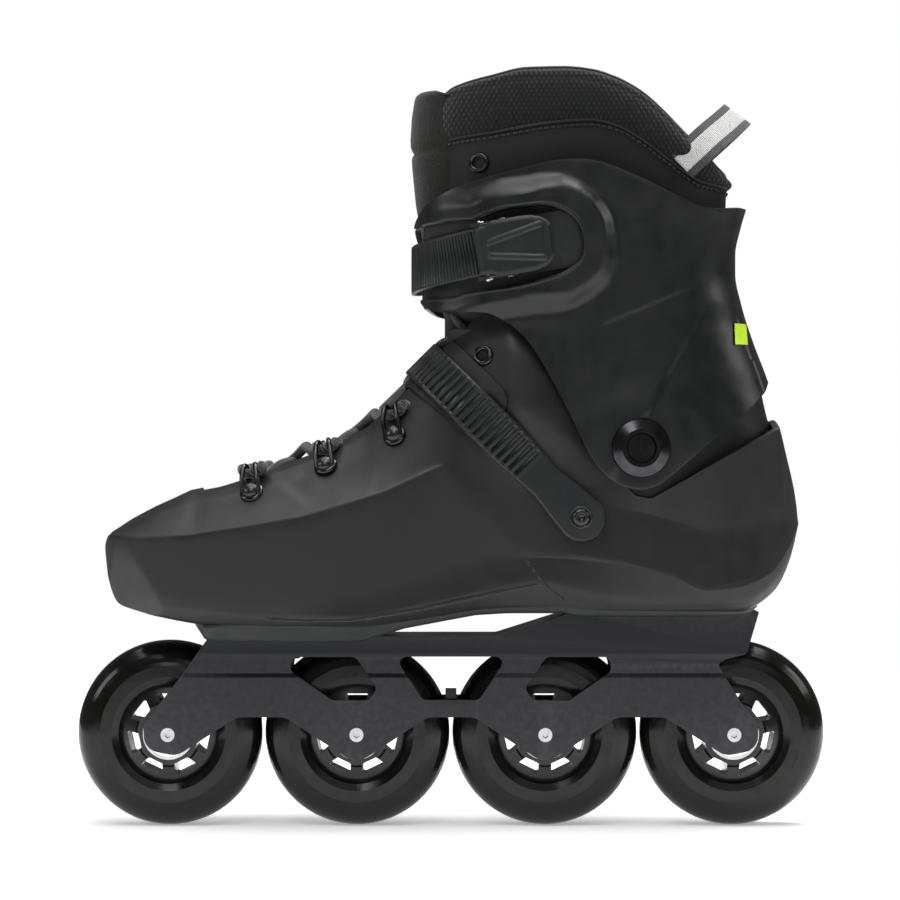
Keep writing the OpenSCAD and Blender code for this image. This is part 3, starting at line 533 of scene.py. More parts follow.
M = {
    "shell": moulded("shell_grain", (0.0070, 0.0080, 0.0070), 0.44, 0.42, 0.03,
                      warm=(0.0105, 0.0115, 0.0096)),
    "cuff": moulded("cuff_grain", (0.0062, 0.0067, 0.0072), 0.34, 0.42, 0.025,
                     warm=(0.0095, 0.0100, 0.0102)),
    "sole": moulded("sole_grain", (0.008, 0.009, 0.0095), 0.46, 0.4, 0.03),
    # darker copy of the shell's plastic: painted shade on the recessed heel collar, the channel's floor and
    # the shield under the instep strap
    "inner": moulded("shaded_plastic_grain", (0.005, 0.0053, 0.0053), 0.5, 0.4, 0.03),
    "strap": moulded("strap_grain", (0.0085, 0.0092, 0.0098), 0.38, 0.5, 0.02),
    "buckle": moulded("buckle_grain", (0.006, 0.0065, 0.007), 0.46, 0.6, 0.03),
    "frame": anodised("anodised_black", (0.0135, 0.0140, 0.0160), 0.36),
    "tyre": urethane("cast_urethane"),
    # near-black plastic: painted shade inside the eyelets' holes
    "hollow": moulded("painted_hole_shade", (0.0006, 0.0006, 0.0006), 0.85, 0.4, 0.01),
    "hub": moulded("hub_gloss", (0.005, 0.005, 0.0055), 0.24, 0.8, 0.01, coat=0.3),
    "steel": metal("ground_steel", (0.66, 0.66, 0.68), 0.24),
    "bright": metal("bright_plate", (0.86, 0.86, 0.88), 0.12),
    "black_metal": metal("black_oxide", (0.045, 0.045, 0.048), 0.2, cloud=1.6),
    "mesh": cloth_weave("spacer_mesh", (0.0022, 0.0025, 0.003), 1.8, 0.5, (0.016, 0.0175, 0.02), 0.1),
    "band": leatherette("leatherette", (0.0042, 0.0041, 0.0047), 0.6),
    "nap": brushed_knit("brushed_knit", (0.0075, 0.0075, 0.0068)),
    "lining": brushed_knit("collar_lining", (0.005, 0.005, 0.0055)),
    "piping": leatherette("piping", (0.012, 0.012, 0.0135), 0.45),
    # dark webbing for the stitches, and for the painted shade lines in the shell's grooves
    "thread": webbing("thread", (0.004, 0.004, 0.0045), 0.5),
    "tape": webbing("tape_centre", (0.36, 0.36, 0.35), 0.8),
    "tape_edge": webbing("tape_edge", (0.014, 0.011, 0.0125), 0.8),
    "lace": braid("lace_braid", (0.010, 0.010, 0.010), (0.15, 0.15, 0.145)),
    "foam": brushed_knit("foam_felt", (0.02, 0.02, 0.023)),
    "accent": moulded("accent_print", (0.42, 0.62, 0.02), 0.45, 0.5, 0.01),
}


# ---------------------------------------------------------------- boot shell

TOE_END, HEEL_END = -148.7, 150.0
# Lines of the shell's side as heights over u, from the sole up to the throat and the heel ledge
BOTTOM = line((-148.7, 118.8), (-147.6, 110), (-145.7, 102.3), (-143.5, 97.1), (-140.5, 95.4),
              (-127.5, 91.9), (-116.7, 89.8), (-108, 88.4), (-70, 87.2), (-38, 87.2), (-20, 89.4),
              (0, 92.4), (10, 93.8), (24, 94.6), (49, 94.7), (54, 93.5), (124, 93.5), (128.8, 95.4),
              (134, 98.9), (137.9, 102.3), (140.5, 105.8), (144, 112.8), (146.6, 119.7), (148.7, 126.6),
              (150, 130.1))
WALL_FOOT = curve((-148.7, 119.2), (-146.6, 106), (-143, 98.6), (-134, 96.6), (-118, 95.4), (-103, 93.4),
                  (-71.6, 91.2), (-42.6, 91), (-15, 95.2), (20, 102.5), (37.6, 106), (50, 103), (62, 99.5),
                  (80, 98), (107, 98), (125, 99), (134, 103.5), (140, 110), (145, 119), (148.7, 128),
                  (150, 130.3))
LOW_FACET = curve((-148.7, 119.8), (-143, 106), (-118, 100.5), (-80, 97), (-40.5, 98), (-15, 104.5),
                  (10, 112), (22.6, 116), (45, 116.6), (71.6, 114.4), (83, 111.6), (93.6, 109),
                  (98.6, 106.4), (107.4, 103), (120, 104), (135, 110), (145, 122), (148.7, 128.6),
                  (150, 130.5))
CREASE = line((-148.7, 121.3), (-147, 125.6), (-129.5, 125.2), (-109.8, 126.3), (-85.1, 130.2),
              (-62.5, 134.3), (-28.4, 144.5), (-3.4, 156.3), (4, 147.6), (22.6, 127), (30.5, 118.4),
              (45, 117.4), (71.6, 115.2), (93.6, 110), (107.4, 104), (135, 111), (145, 122.7), (150, 130.7))
HEEL_CREASE = line((-148.7, 121.6), (-147, 126), (-129.5, 125.8), (-109.8, 127), (-85.1, 131),
                   (-62.5, 135.2), (-28.4, 145.4), (-3.4, 157), (20, 149), (40, 142), (60, 138),
                   (66, 137.3), (81, 135.6), (94, 131.4), (105.6, 126.6), (112, 126.4), (132.5, 128),
                   (146, 130), (150, 131))
TOP = line((-148.7, 123), (-146.6, 126.9), (-140.9, 130.1), (-134.4, 133.6), (-127.9, 137), (-120.1, 140.5),
           (-112.7, 144), (-108, 144.8), (-99.3, 146.4), (-92, 148.6), (-72, 155.6), (-50, 164.4),
           (-35.7, 172), (-20, 186.5), (-8, 198), (2.6, 211.5), (12, 219), (24, 221), (34, 214), (46, 200),
           (56, 184), (64, 166), (70, 152), (77, 143), (84.5, 141.7), (105.4, 153.5), (139.6, 171.7),
           (141.8, 164.8), (144, 157.8), (146.1, 150.9), (147.9, 144), (149.2, 137), (150, 131.2))
# Half widths of the side and of the throat over u
HALF = curve((-148.7, 16), (-147.6, 20), (-145.5, 25), (-140, 32), (-128, 39.5), (-112, 45), (-85, 49.5),
             (-60, 50.2), (-36, 48.8), (-19, 46.6), (0, 43.8), (16, 42), (45, 41.4), (80, 42), (100, 42.6),
             (115, 42), (126, 38.5), (134, 34.5), (139.6, 30), (143.5, 25), (146.6, 19), (148.7, 13),
             (150, 7))
SHIFT = curve((-148.7, -4), (-112, -2.4), (-60, 0), (150, 0))
THROAT = curve((-148.7, 8), (-112, 8), (-107.8, 9), (-100, 14), (-60, 18.5), (-20, 22.5), (2, 25),
               (14, 30), (30, 38), (50, 40), (84, 41), (105, 42), (126, 38), (134, 34), (139.6, 29.4),
               (143.5, 20), (148.7, 9), (150, 5))
THROAT_START, HEEL_TOP = -107.8, 139.6      # between these the top is open
# Width of each line against the half width: [undercut, wall foot, low facet, crease, heel crease]
UNDERCUT = curve((-148.7, 4), (-120, 7), (-60, 9), (0, 9), (60, 6), (125, 7), (150, 1))
FOOT_IN = curve((-148.7, 0.5), (-118, 2.5), (-70, 2.2), (-40, 0.6), (10, -0.6), (40, -0.8), (62, 0.4),
                (107, 1.2), (150, 0.6))
FACET_IN = curve((-148.7, 0.5), (-110, 1.8), (-50, 1.6), (-15, 1.3), (20, 1.2), (60, 0.2), (100, -1.4),
                 (125, -1), (150, 0))
CREASE_IN = curve((-148.7, 0.2), (-120, 0), (-20, 0), (0, -0.6), (30, 0.8), (60, 0), (100, -1.4), (150, 0))
HEEL_IN = curve((-148.7, 0.6), (-120, 0.8), (-20, 0.8), (0, 0.2), (40, 0.8), (66, 1.8), (100, 2.2),
                (130, 1.8), (150, 0.6))
# Toe facet: the outer side's wall is cut flat ahead of this line of [u, z]
TOE_LINE = ((-134.5, 118.5), (-117.3, 95.6))
TOE_SLOPE = 1.05
# Vamp facet: the wall is let in a little behind this line of [u, z], up to VAMP_END
VAMP_LINE = ((-72, 147.5), (-56, 135))
VAMP_END = -26


def shell_section(u):
    """Points [x, z] of one side's section, from the sole's middle to the throat or the crown."""
    w = HALF(u)
    zb, z2, z3, z4, z5, zt = (f(u) for f in (BOTTOM, WALL_FOOT, LOW_FACET, CREASE, HEEL_CREASE, TOP))
    z2, z3 = max(z2, zb + 0.1), max(z3, zb + 0.2)
    z4, z5 = max(z4, z3 + 0.15), max(z5, z4 + 0.15, z3 + 0.3)
    zt = max(zt, z5 + 0.3)
    x1 = max(1, w - UNDERCUT(u))
    x2, x3, x4, x5 = w - FOOT_IN(u), w - FACET_IN(u), w - CREASE_IN(u), w - HEEL_IN(u)
    x6 = THROAT(u)
    open_heel = smoothstep(30, 70, u)
    bulge = (1 - open_heel) * 0.12 * np.hypot(x5 - x6, zt - z5) * smoothstep(-148, -125, u)
    slope = np.array([zt - z5, x5 - x6]) / max(1e-6, np.hypot(x5 - x6, zt - z5))
    middle = np.array([(x5 + x6) / 2, (z5 + zt) / 2]) + bulge * slope
    shoulder = np.array([x6 + 0.22 * (x5 - x6), zt - 0.2 * (zt - z5)]) + bulge * 0.75 * slope
    knots = [((0, zb), 7), ((x1, zb), 5), ((x2, z2), 5), ((x3, z3), 10), ((x4, z4), 3), ((x5, z5), 10),
             (tuple(middle), 6), (tuple(shoulder), 5), ((x6, zt), 0)]
    pts = []
    for (a, n), (b, _) in zip(knots, knots[1:]):
        for k in range(n):
            t = k / n
            pts.append((a[0] + t * (b[0] - a[0]), a[1] + t * (b[1] - a[1])))
    return np.array(pts + [(x6, zt)])


def shell_half(side):
    """Grid of one side of the shell: rows along u, columns from the sole to the top."""
    even = np.linspace(0, 1, 190)
    ease = (1 - np.cos(math.pi * even)) / 2      # finer rows at the toe and the heel
    us = TOE_END + (HEEL_END - TOE_END) * (0.45 * ease + 0.55 * even)
    us = np.sort(np.append(us, [THROAT_START, HEEL_TOP]))
    rows = []
    for u in us:
        s = shell_section(u)
        rows.append(np.stack([s[:, 0], np.full(len(s), u), s[:, 1]], 1))
    g = relax(np.array(rows))
    (ua, za), (ub, zb) = TOE_LINE
    edge = ua + (g[:, :, 2] - za) * (ub - ua) / (zb - za)
    limit = np.interp(edge, us, HALF(us)) - TOE_SLOPE * (edge - g[:, :, 1]) * 0.9
    ahead = (g[:, :, 1] < edge) & (g[:, :, 2] < CREASE(g[:, :, 1]) + 1)
    g[:, :, 0] = np.where(ahead, np.minimum(g[:, :, 0], np.maximum(limit, 0.55 * g[:, :, 0])), g[:, :, 0])
    # shallow facet over the toes, behind a line that runs down and back
    (ua, za), (ub, zb) = VAMP_LINE
    behind = (g[:, :, 1] - ua) * (za - zb) / (ub - ua) - (za - g[:, :, 2])
    over = (g[:, :, 2] - CREASE(g[:, :, 1])) * smoothstep(ua - 4, ua + 4, g[:, :, 1]) * (g[:, :, 1] < -8)
    g[:, :, 0] -= 0.9 * smoothstep(0, 2.2, behind) * np.clip(over / 8, 0, 1) * (g[:, :, 1] < VAMP_END) * (
        1 - smoothstep(-46, -30, g[:, :, 1]))
    g[:, :, 0] = side * g[:, :, 0] + SHIFT(g[:, :, 1]) * np.clip(np.abs(g[:, :, 0]) / 10, 0, 1)
    return us, g


def shell_mesh(name):
    """Both sides, the crown over the toes and the closed back of the heel, as one skin."""
    crown = 9
    (us, right), (_, left) = shell_half(1), shell_half(-1)
    n, m = right.shape[:2]
    cols = 2 * m - 1
    skin = np.concatenate([right[:, ::-1], left[:, 1:]], 1)      # from the outer top round to the inner top
    verts = skin.reshape(-1, 3).tolist()
    faces = grid_faces(n, cols)
    top = {}
    for i, u in enumerate(us):
        if u <= THROAT_START + 0.01 or u >= HEEL_TOP - 0.01:
            a, b = right[i, -1], left[i, -1]
            ids = [i * cols]
            for k in range(1, crown):
                t = k / crown
                p = a + t * (b - a)
                crowned = 0.06 * np.linalg.norm(b - a) * math.sin(math.pi * t)
                p[2] += crowned * smoothstep(0, 12, abs(u - TOE_END))
                ids.append(len(verts))
                verts.append(p.tolist())
            top[i] = ids + [i * cols + cols - 1]
    for i in range(n - 1):
        if i in top and i + 1 in top and not us[i] < 0 < us[i + 1]:
            if us[i + 1] <= THROAT_START + 0.01 or us[i] >= HEEL_TOP - 0.01:
                faces += [(top[i + 1][k], top[i + 1][k + 1], top[i][k + 1], top[i][k]) for k in range(crown)]
    for i, back in ((0, False), (n - 1, True)):
        loop = [i * cols + j for j in range(cols)] + top[i][-2:0:-1]
        faces.append(tuple(loop if back else loop[::-1]))
    return add_mesh(name, verts, faces)


def heel_collar(name):
    """Recessed upper heel of the shell, between the outer skin's ledge and the cuff."""
    top = curve((20, 214), (50, 203), (64, 190), (95, 184), (120, 187.5), (133, 190), (145, 190))
    rows = []
    for k in range(91):
        a = math.radians(-62 + 304 * k / 90)
        column = []
        for j in range(16):
            x, y = oval(-8, 141, 40, 2.6, a)
            z0, z1 = 118, float(top(y))
            z = z0 + (z1 - z0) * j / 15
            back = np.interp(z, [118, 150, 172, 176, 190], [142, 141.5, 138.5, 136.6, 133.5])
            x, y = oval(-8, back, 39.2, 2.6, a)
            column.append((x, y, z))
        rows.append(column)
    return solid(grid_mesh(name, rows, flip=True), thickness=2.6, edge=0.8)


PAD_FOOT = 82.5      # top of the frame's front mount


def sole_pads(name):
    """Mounting pads under the ball and the heel, joined by the arch web."""
    outline = [(-107.5, 88.6), (-104.6, 84.6), (-103.5, 83), (-102, PAD_FOOT), (-40, PAD_FOOT), (-38, 82.7),
               (-30, 85), (-20, 88), (0, 91.7), (10.4, 93.6), (24, 94.4), (48, 94.5), (52, 93.3),
               (54, 93.1), (124, 93.1), (127, 94.3), (129.5, 96.2)]
    half = curve((-107.5, 30), (-100, 36), (-60, 40), (-38, 37), (0, 33), (22, 32.5), (60, 35), (110, 34),
                 (129.5, 24))
    lift = curve((-107.5, 4), (-80, 9), (-38, 9), (0, 8), (30, 7), (129.5, 5))
    pts = resample(outline, 150)
    rows = []
    for u, z in pts:
        h, up, z = float(half(u)), float(lift(u)), max(z, PAD_FOOT)
        side = [(0, z), (h * 0.6, z), (h - 2.2, z), (h - 0.9, z + 0.35), (h - 0.2, z + 1.1), (h, z + 2.4),
                (h + 1.6, z + up * 0.7), (h + 2.2, z + up), (h - 6, z + up + 3)]
        col = [(-x, u, c) for x, c in side[::-1]] + [(x, u, c) for x, c in side[1:]]
        rows.append(col)
    g = np.array(rows)
    g[:, :, 0] += SHIFT(g[:, :, 1])
    obj = grid_mesh(name, g)
    modifier(obj, "SOLIDIFY", thickness=1.5 * MM, offset=-1)
    return obj


def groove_shade_line(name, points, radius, lift):
    """Dark cord let into the outer side of the shell along a parting line at points [u, z]: painted shade of
    the line's groove.
    """
    pts = []
    for u, z in resample(points, 60):
        s = shell_section(u)
        x = np.interp(z, s[7:, 1], s[7:, 0])
        pts.append((x + lift + float(SHIFT(u)), u, z))
    return tube_mesh(name, pts, radius, sides=8)


shell = solid(shell_mesh("boot_shell_skin"), thickness=2.8, edge=0.7)
place_piece(shell, "boot", "boot_shell", slot="shell_plastic", mat=M["shell"])
# the recessed heel collar takes the darker plastic: painted shade in the recess
place_piece(heel_collar("boot_shell_heel_collar"), "boot", "boot_shell", slot="shell_plastic", mat=M["inner"])
# dark cords along these [u, z] lines on the outer side: painted shade of the shell's grooves
GROOVE_SHADE_LINES = {"side": [(-78, 91.3), (-60, 90.6), (-42.6, 90.8), (-15, 95), (20, 102.4), (37.6, 106)],
           "arch": [(31, 116.3), (39, 106), (47.8, 98.8)]}
for label, points in GROOVE_SHADE_LINES.items():
    place_piece(groove_shade_line(f"boot_shell_{label}_groove", points, radius=0.5, lift=-0.12), "boot",
                slot="shell_plastic", mat=M["thread"])
place_piece(sole_pads("boot_shell_sole_pads"), "boot", "boot_shell", slot="shell_plastic", mat=M["sole"])


# ---------------------------------------------------------------- cuff

CUFF_ROWS = [(136, -16, 148, 47), (163, -16, 146, 46.4), (192, -16, 136.8, 46.2), (210, -15.5, 130, 46),
             (224, -13.5, 125.6, 45.8), (238, -13, 122.8, 45.8), (246, -13.5, 122.8, 46),
             (258, -16.5, 125.2, 46.6), (267, -16.8, 127.8, 47.2), (290, -15, 133, 48.5)]
CUFF_N = 2.8
CUFF_FRONT, CUFF_REAR, CUFF_HALF = (curve(*[(r[0], r[k]) for r in CUFF_ROWS]) for k in (1, 2, 3))
CUFF_TOP = curve((-18, 252), (-16.9, 255), (-14.6, 260.5), (-10.2, 266), (-4, 270.3), (4.5, 273.7),
                 (27.4, 279.9), (48.3, 284.1), (55, 284.3), (62, 283.2), (79.6, 276.6), (98.4, 267.8),
                 (106.7, 264.8), (112.5, 264.2), (127.8, 265.6))
CUFF_LOW = curve((-16.5, 232), (-14.7, 229), (-11.3, 223.8), (-4, 220.6), (6, 220.4), (14.1, 220),
                 (23.8, 215.6), (32.2, 208), (40.5, 195), (50.9, 175.4), (57.8, 160.8), (63, 153.6),
                 (68, 149.2), (74, 146.4), (80, 145.6), (86, 147), (92, 151.2), (106, 163), (134, 187),
                 (136, 190.5), (138, 192.5))
CHANNEL = [(-45, 257.4), (-17.8, 256.8), (-0.5, 258.7), (11.3, 258.9), (16, 261.2), (22, 263),
           (37.6, 264.7), (43.3, 264), (47.6, 262), (51.6, 259.2), (54.2, 255), (55.2, 250.6),
           (55.4, 246.1), (54, 242), (51, 239.2), (46.6, 236.4), (41.4, 234.6), (27.9, 231), (13.4, 228.9),
           (5, 227.6), (3, 226.4), (-14, 226.6), (-45, 226.4)]
# Upper and lower edge of the channel, ahead of its rounded rear end
CHANNEL_TOP, CHANNEL_LOW = line(*CHANNEL[:8]), line(*CHANNEL[:15:-1])
CHANNEL_MID = 242.0      # height between the two edges
RIM_TURN = 38.0          # from here on the channel's rim goes to the nearest place on the outline
RIM_SHARE = 0.88         # height of the rim against the surround's
# Height of the raised surround
HORN = line((-17, 0), (-11.5, 0.6), (-4, 2), (4, 2.8), (16, 4.4), (30, 5.4), (60, 5.6))
PIVOT_OUT = 48.9         # how far out the lobes round the pivots stand
PIVOT_BORE = 7.5
GAP_HALF = 13            # half of the opening at the front


def cuff_point(angle, z, out=0.0):
    """Point of the cuff's form at an angle and height, moved out along its normal."""
    lo, hi, half = CUFF_FRONT(z), CUFF_REAR(z), CUFF_HALF(z)
    x, y = oval(lo, hi, half, CUFF_N, angle)
    e = 0.004
    xa, ya = oval(lo, hi, half, CUFF_N, angle - e)
    xb, yb = oval(lo, hi, half, CUFF_N, angle + e)
    nx, ny = yb - ya, xa - xb
    size = np.hypot(nx, ny)
    return x + out * nx / size, y + out * ny / size


def raised(u, d):
    """Height of the surround over the cuff's form, at a distance outside the buckle's channel."""
    wide = 4 * smoothstep(30, 52, u)
    fade = 1 - smoothstep(4.6 + wide, 14 + 0.5 * wide, d)
    return HORN(u) * fade * (1 - smoothstep(62, 80, u)) * (1 - 0.12 * (1 - smoothstep(0, 1.4, d)))


def cuff_grid(cols, rows):
    """Angles of the cuff's columns and grid of its points, from the lower edge to the upper."""
    angles = even_angles(lambda a: cuff_point(a, 240), cols, GAP_HALF)
    g = np.zeros((rows, cols, 3))
    v = np.linspace(0, 1, rows)
    for j, a in enumerate(angles):
        low, top = 200.0, 270.0
        for _ in range(12):
            low = float(CUFF_LOW(cuff_point(a, low)[1]))
            top = float(CUFF_TOP(cuff_point(a, top)[1]))
        z = low + (top - low) * v
        x, y = cuff_point(a, z)
        outer = x > 0
        d = signed_distance(np.stack([y, z], 1), CHANNEL)
        lift = np.where(outer, raised(y, np.maximum(d, 0)), 0.0)
        r = np.hypot(y - PIVOT[1], z - PIVOT[2])
        side = np.abs(x)
        lobe = 1 - smoothstep(15, 33, r)
        push = np.maximum(0, PIVOT_OUT - side) * lobe
        x2, y2 = cuff_point(a, z, lift)
        x2 = x2 + np.sign(x) * push
        # shallow facets behind the buckle and above the rear lower edge
        rear = smoothstep(96, 99, y - 0.55 * (z - 205)) * (1 - smoothstep(214, 226, z))
        x2 = x2 - np.sign(x) * 0.8 * rear * (side > 25)
        flank = smoothstep(0, 3, (z - 216) - 0.42 * (y - 70))
        flank = flank * smoothstep(60, 66, y) * (1 - smoothstep(92, 112, y))
        x2 = x2 + np.sign(x) * 0.5 * flank * (side > 25)
        # the front flank stands off the boot, for the cuff's travel
        stand_off = (1 - smoothstep(46, 68, y)) * (1 - smoothstep(208, 228, z))
        x2 = x2 + np.sign(x) * 1.8 * stand_off * (side > 25)
        g[:, j] = np.stack([x2, y2, z], 1)
    return angles, g


def outer_side_point(u, z, out=0.0):
    """Point of the cuff's form on its outer side at a place u, z, moved out along its normal."""
    lo, hi = CUFF_FRONT(z), CUFF_REAR(z)
    q = np.clip((u - (lo + hi) / 2) / ((hi - lo) / 2), -0.9999, 0.9999)
    angle = np.arcsin(np.sign(q) * np.abs(q)**(CUFF_N / 2))
    x, y = cuff_point(angle, z, out)
    return np.array([x, y, z])


def nearest_on(point, polygon):
    """Nearest place on a closed outline to a 2D point."""
    p, a = np.array(point, float), np.array(polygon, float)
    ab = np.roll(a, -1, 0) - a
    t = np.clip(((p - a) * ab).sum(1) / (ab * ab).sum(1), 0, 1)
    q = a + t[:, None] * ab
    return q[np.argmin(np.linalg.norm(p - q, axis=1))]


def cuff_skin(name):
    """The cuff's skin, without the channel and the pivots' bores, and with a rim on the channel's edge."""
    cols, rows = 300, 120
    angles, g = cuff_grid(cols, rows)
    flat = g.reshape(-1, 3)
    d = signed_distance(flat[:, 1:], CHANNEL)
    inside = ((d < 0) & (flat[:, 0] > 0)).reshape(rows, cols)
    mid = (g[:-1, :-1] + g[1:, 1:]) / 2
    bore = np.hypot(mid[:, :, 1] - PIVOT[1], mid[:, :, 2] - PIVOT[2]) < PIVOT_BORE
    corners = inside[:-1, :-1] & inside[1:, :-1] & inside[:-1, 1:] & inside[1:, 1:]
    drop = bore | corners
    border = np.zeros((rows, cols), bool)
    for di in (0, 1):
        for dj in (0, 1):
            border[di:rows - 1 + di, dj:cols - 1 + dj] |= ~drop
    border &= inside
    for i, j in zip(*np.nonzero(border)):
        x, u, z = g[i, j]
        if u < RIM_TURN:      # along its top and bottom, the rim keeps to its column
            for _ in range(4):
                z = float(CHANNEL_TOP(u) if z > CHANNEL_MID else CHANNEL_LOW(u))
                x, u = cuff_point(angles[j], z, RIM_SHARE * HORN(u))
            g[i, j] = x, u, z
        else:
            u, z = nearest_on((u, z), CHANNEL)
            g[i, j] = outer_side_point(u, z, RIM_SHARE * HORN(u))
    obj = grid_mesh(name, g, keep=lambda i, j: not drop[i, j])
    return solid(obj, thickness=2.0, edge=0.7)


def channel_lining(name):
    """Rounded lip and wall down to the floor of the buckle's channel."""
    path = np.array([(-11.6, 257.3)] + [p for p in CHANNEL if p[0] > -11] + [(-9.6, 226.5)])
    path = soften(resample(path, 220), 10)
    t = directions(path)
    outward = np.stack([-t[:, 1], t[:, 0]], 1)
    rows = []
    for (u, z), (a, b) in zip(path, outward):
        h = float(HORN(u))
        profile = [(2.0, h - 1.0), (1.7, h - 0.3), (1.1, h + 0.12), (0.5, h + 0.05), (0.05, h - 0.4),
                   (-0.15, h - 1.1), (-0.2, h * 0.5), (-0.25, 0.2), (-0.3, -1.4)]
        rows.append([outer_side_point(u + a * d, z + b * d, out) for d, out in profile])
    return grid_mesh(name, rows)


def channel_floor(name):
    """Sheet under the channel, a little inside the cuff's form."""
    rows = [[outer_side_point(u, z, -0.7) for u in np.linspace(-12.2, 58, 60)]
            for z in np.linspace(222.5, 266.5, 40)]
    return solid(grid_mesh(name, rows), thickness=1.6, edge=0)


place_piece(cuff_skin("cuff_shell"), "cuff", "cuff", slot="cuff_plastic", mat=M["cuff"])
place_piece(channel_lining("cuff_channel_lip"), "cuff", slot="cuff_plastic", mat=M["cuff"])
# the channel's floor takes the darker plastic: painted shade in the channel
place_piece(channel_floor("cuff_channel_floor"), "cuff", slot="cuff_plastic", mat=M["inner"])


def accent_mark(name):
    """Printed bar at the cuff's rear edge."""
    rows = []
    for z in np.linspace(207, 216, 8):
        row = []
        for y in np.linspace(120.5, 126.5, 8):
            a = np.radians(np.linspace(20, 90, 400))
            px, py = cuff_point(a, z, 0.16)
            row.append((np.interp(y, py, px), y, z))
        rows.append(row)
    return grid_mesh(name, rows)


place_piece(accent_mark("cuff_accent_mark"), "cuff", slot="cuff_plastic", mat=M["accent"])


# ---------------------------------------------------------------- liner, tongue and pull loop

LINER_ROWS = [(112, 22, 128, 30), (150, 14, 121, 33), (190, 9, 118.5, 34), (212, 4, 118.5, 36),
              (235, -4, 117, 39), (262, -6, 118.5, 40.6), (290, -6.5, 120, 41), (330, -6.5, 121, 40)]
LINER_N = 2.6
LINER_FRONT, LINER_REAR, LINER_HALF = (curve(*[(r[0], r[k]) for r in LINER_ROWS]) for k in (1, 2, 3))
LINER_TOP = curve((-7, 311), (-4, 315), (0, 317.2), (15.6, 320.6), (30.8, 323.4), (48.1, 323.6),
                  (60, 322.4), (70, 319.4), (78, 315.6), (84, 311.8), (91.5, 305.6), (100.2, 297.6),
                  (110, 289.4), (117, 283.6), (122, 281.5))
SEAM = curve((-8, 293.4), (-5.1, 294), (16.8, 296.4), (42.1, 300.2), (58.9, 301.4), (69.5, 299.2),
             (80, 293.6), (91.3, 285.4), (99.8, 279.4), (106.9, 275.8), (121, 274.4))
PAD = 8.5            # thickness of the padded collar
ROLL = 2.4           # bulge of the knitted panels
LINER_LOW = 152.0    # where the collar's skins start
RIM_ROW = 19         # row of the knitted panel along the top of the rim


def liner_point(angle, z, out=0.0):
    lo, hi, half = LINER_FRONT(z) - out, LINER_REAR(z) + out, LINER_HALF(z) + out
    return oval(lo, hi, half, LINER_N, angle)


def liner_angles(count, limit_x):
    return even_angles(lambda a: liner_point(a, 290), count, limit_x)


def liner_column(a):
    """Outer skin below the seam, knitted panel over the rim and lining inside, at one angle."""
    top, seam = 315.0, 295.0
    for _ in range(10):
        top = float(LINER_TOP(liner_point(a, top)[1]))
        seam = float(SEAM(liner_point(a, seam)[1]))
    _, y = liner_point(a, 262)
    edge = 1 - smoothstep(0, 9, y - LINER_FRONT(262))      # the front edges run thin
    thick = PAD * (1 - 0.35 * edge)
    rim = thick / 2
    z1 = np.linspace(LINER_LOW, seam, 34)
    band = [(liner_point(a, z, 0), z) for z in z1]
    band[-1] = (liner_point(a, seam, -0.5), seam)
    band[-2] = (liner_point(a, z1[-2], -0.1), z1[-2])
    height = top - rim - seam
    panel = [(liner_point(a, seam, -0.5), seam)]
    for t in np.linspace(0, 1, 15)[1:]:
        puff = ROLL * math.sin(math.pi * t)**0.6 * (1 - 0.25 * t) if t < 1 else 0
        panel.append((liner_point(a, seam + height * t, puff * (1 - edge * 0.5)), seam + height * t))
    for phi in np.linspace(0, math.pi, 12)[1:]:
        out = -rim + rim * math.cos(phi)
        panel.append((liner_point(a, top - rim, out), top - rim + rim * math.sin(phi)))
    under = top - rim - 0.5
    panel.append((liner_point(a, under, -thick - 0.1), under))
    lining = [panel[-1]]
    for t in np.linspace(0, 1, 30)[1:]:
        z = under + (LINER_LOW - top + rim) * t
        puff = 1.6 * math.sin(math.pi * (2.2 * t)) if 2.2 * t < 1 else 0
        lining.append((liner_point(a, z, -thick - puff), z))
    return [[(p[0], p[1], z) for p, z in part] for part in (band, panel, lining)]


def liner_parts():
    columns = [liner_column(a) for a in liner_angles(170, 15.5)]
    return [np.array([c[k] for c in columns]).transpose(1, 0, 2) for k in range(3)]


def swell(obj, held, pressure=4.0, cap=1.6, frames=20):
    """Cloth simulation of a sewn panel under pressure, with its sewn lines held.

    It moves the collar's panel by less than 0.1 mm: the panel's fullness comes from its grid.
    """
    scene = bpy.context.scene
    scene.frame_set(1)
    sewn = [v.co.copy() for v in obj.data.vertices]
    obj.vertex_groups.new(name="sewn").add([int(k) for k in held], 1.0, "REPLACE")
    cloth = obj.modifiers.new("padding", "CLOTH")
    cloth.settings.quality = 6
    cloth.settings.use_pressure = True
    cloth.settings.uniform_pressure_force = pressure
    cloth.settings.effector_weights.gravity = 0
    cloth.settings.vertex_group_mass = "sewn"
    cloth.point_cache.frame_start, cloth.point_cache.frame_end = 1, frames
    for frame in range(1, frames + 1):
        scene.frame_set(frame)
    padded = obj.evaluated_get(bpy.context.evaluated_depsgraph_get()).data.vertices
    moves = [b.co - a for a, b in zip(sewn, padded)]
    obj.modifiers.clear()
    obj.vertex_groups.clear()
    scene.frame_set(1)
    for vertex, start, move in zip(obj.data.vertices, sewn, moves):
        vertex.co = start + move * min(1.0, cap * MM / max(1e-9, move.length))
    return obj


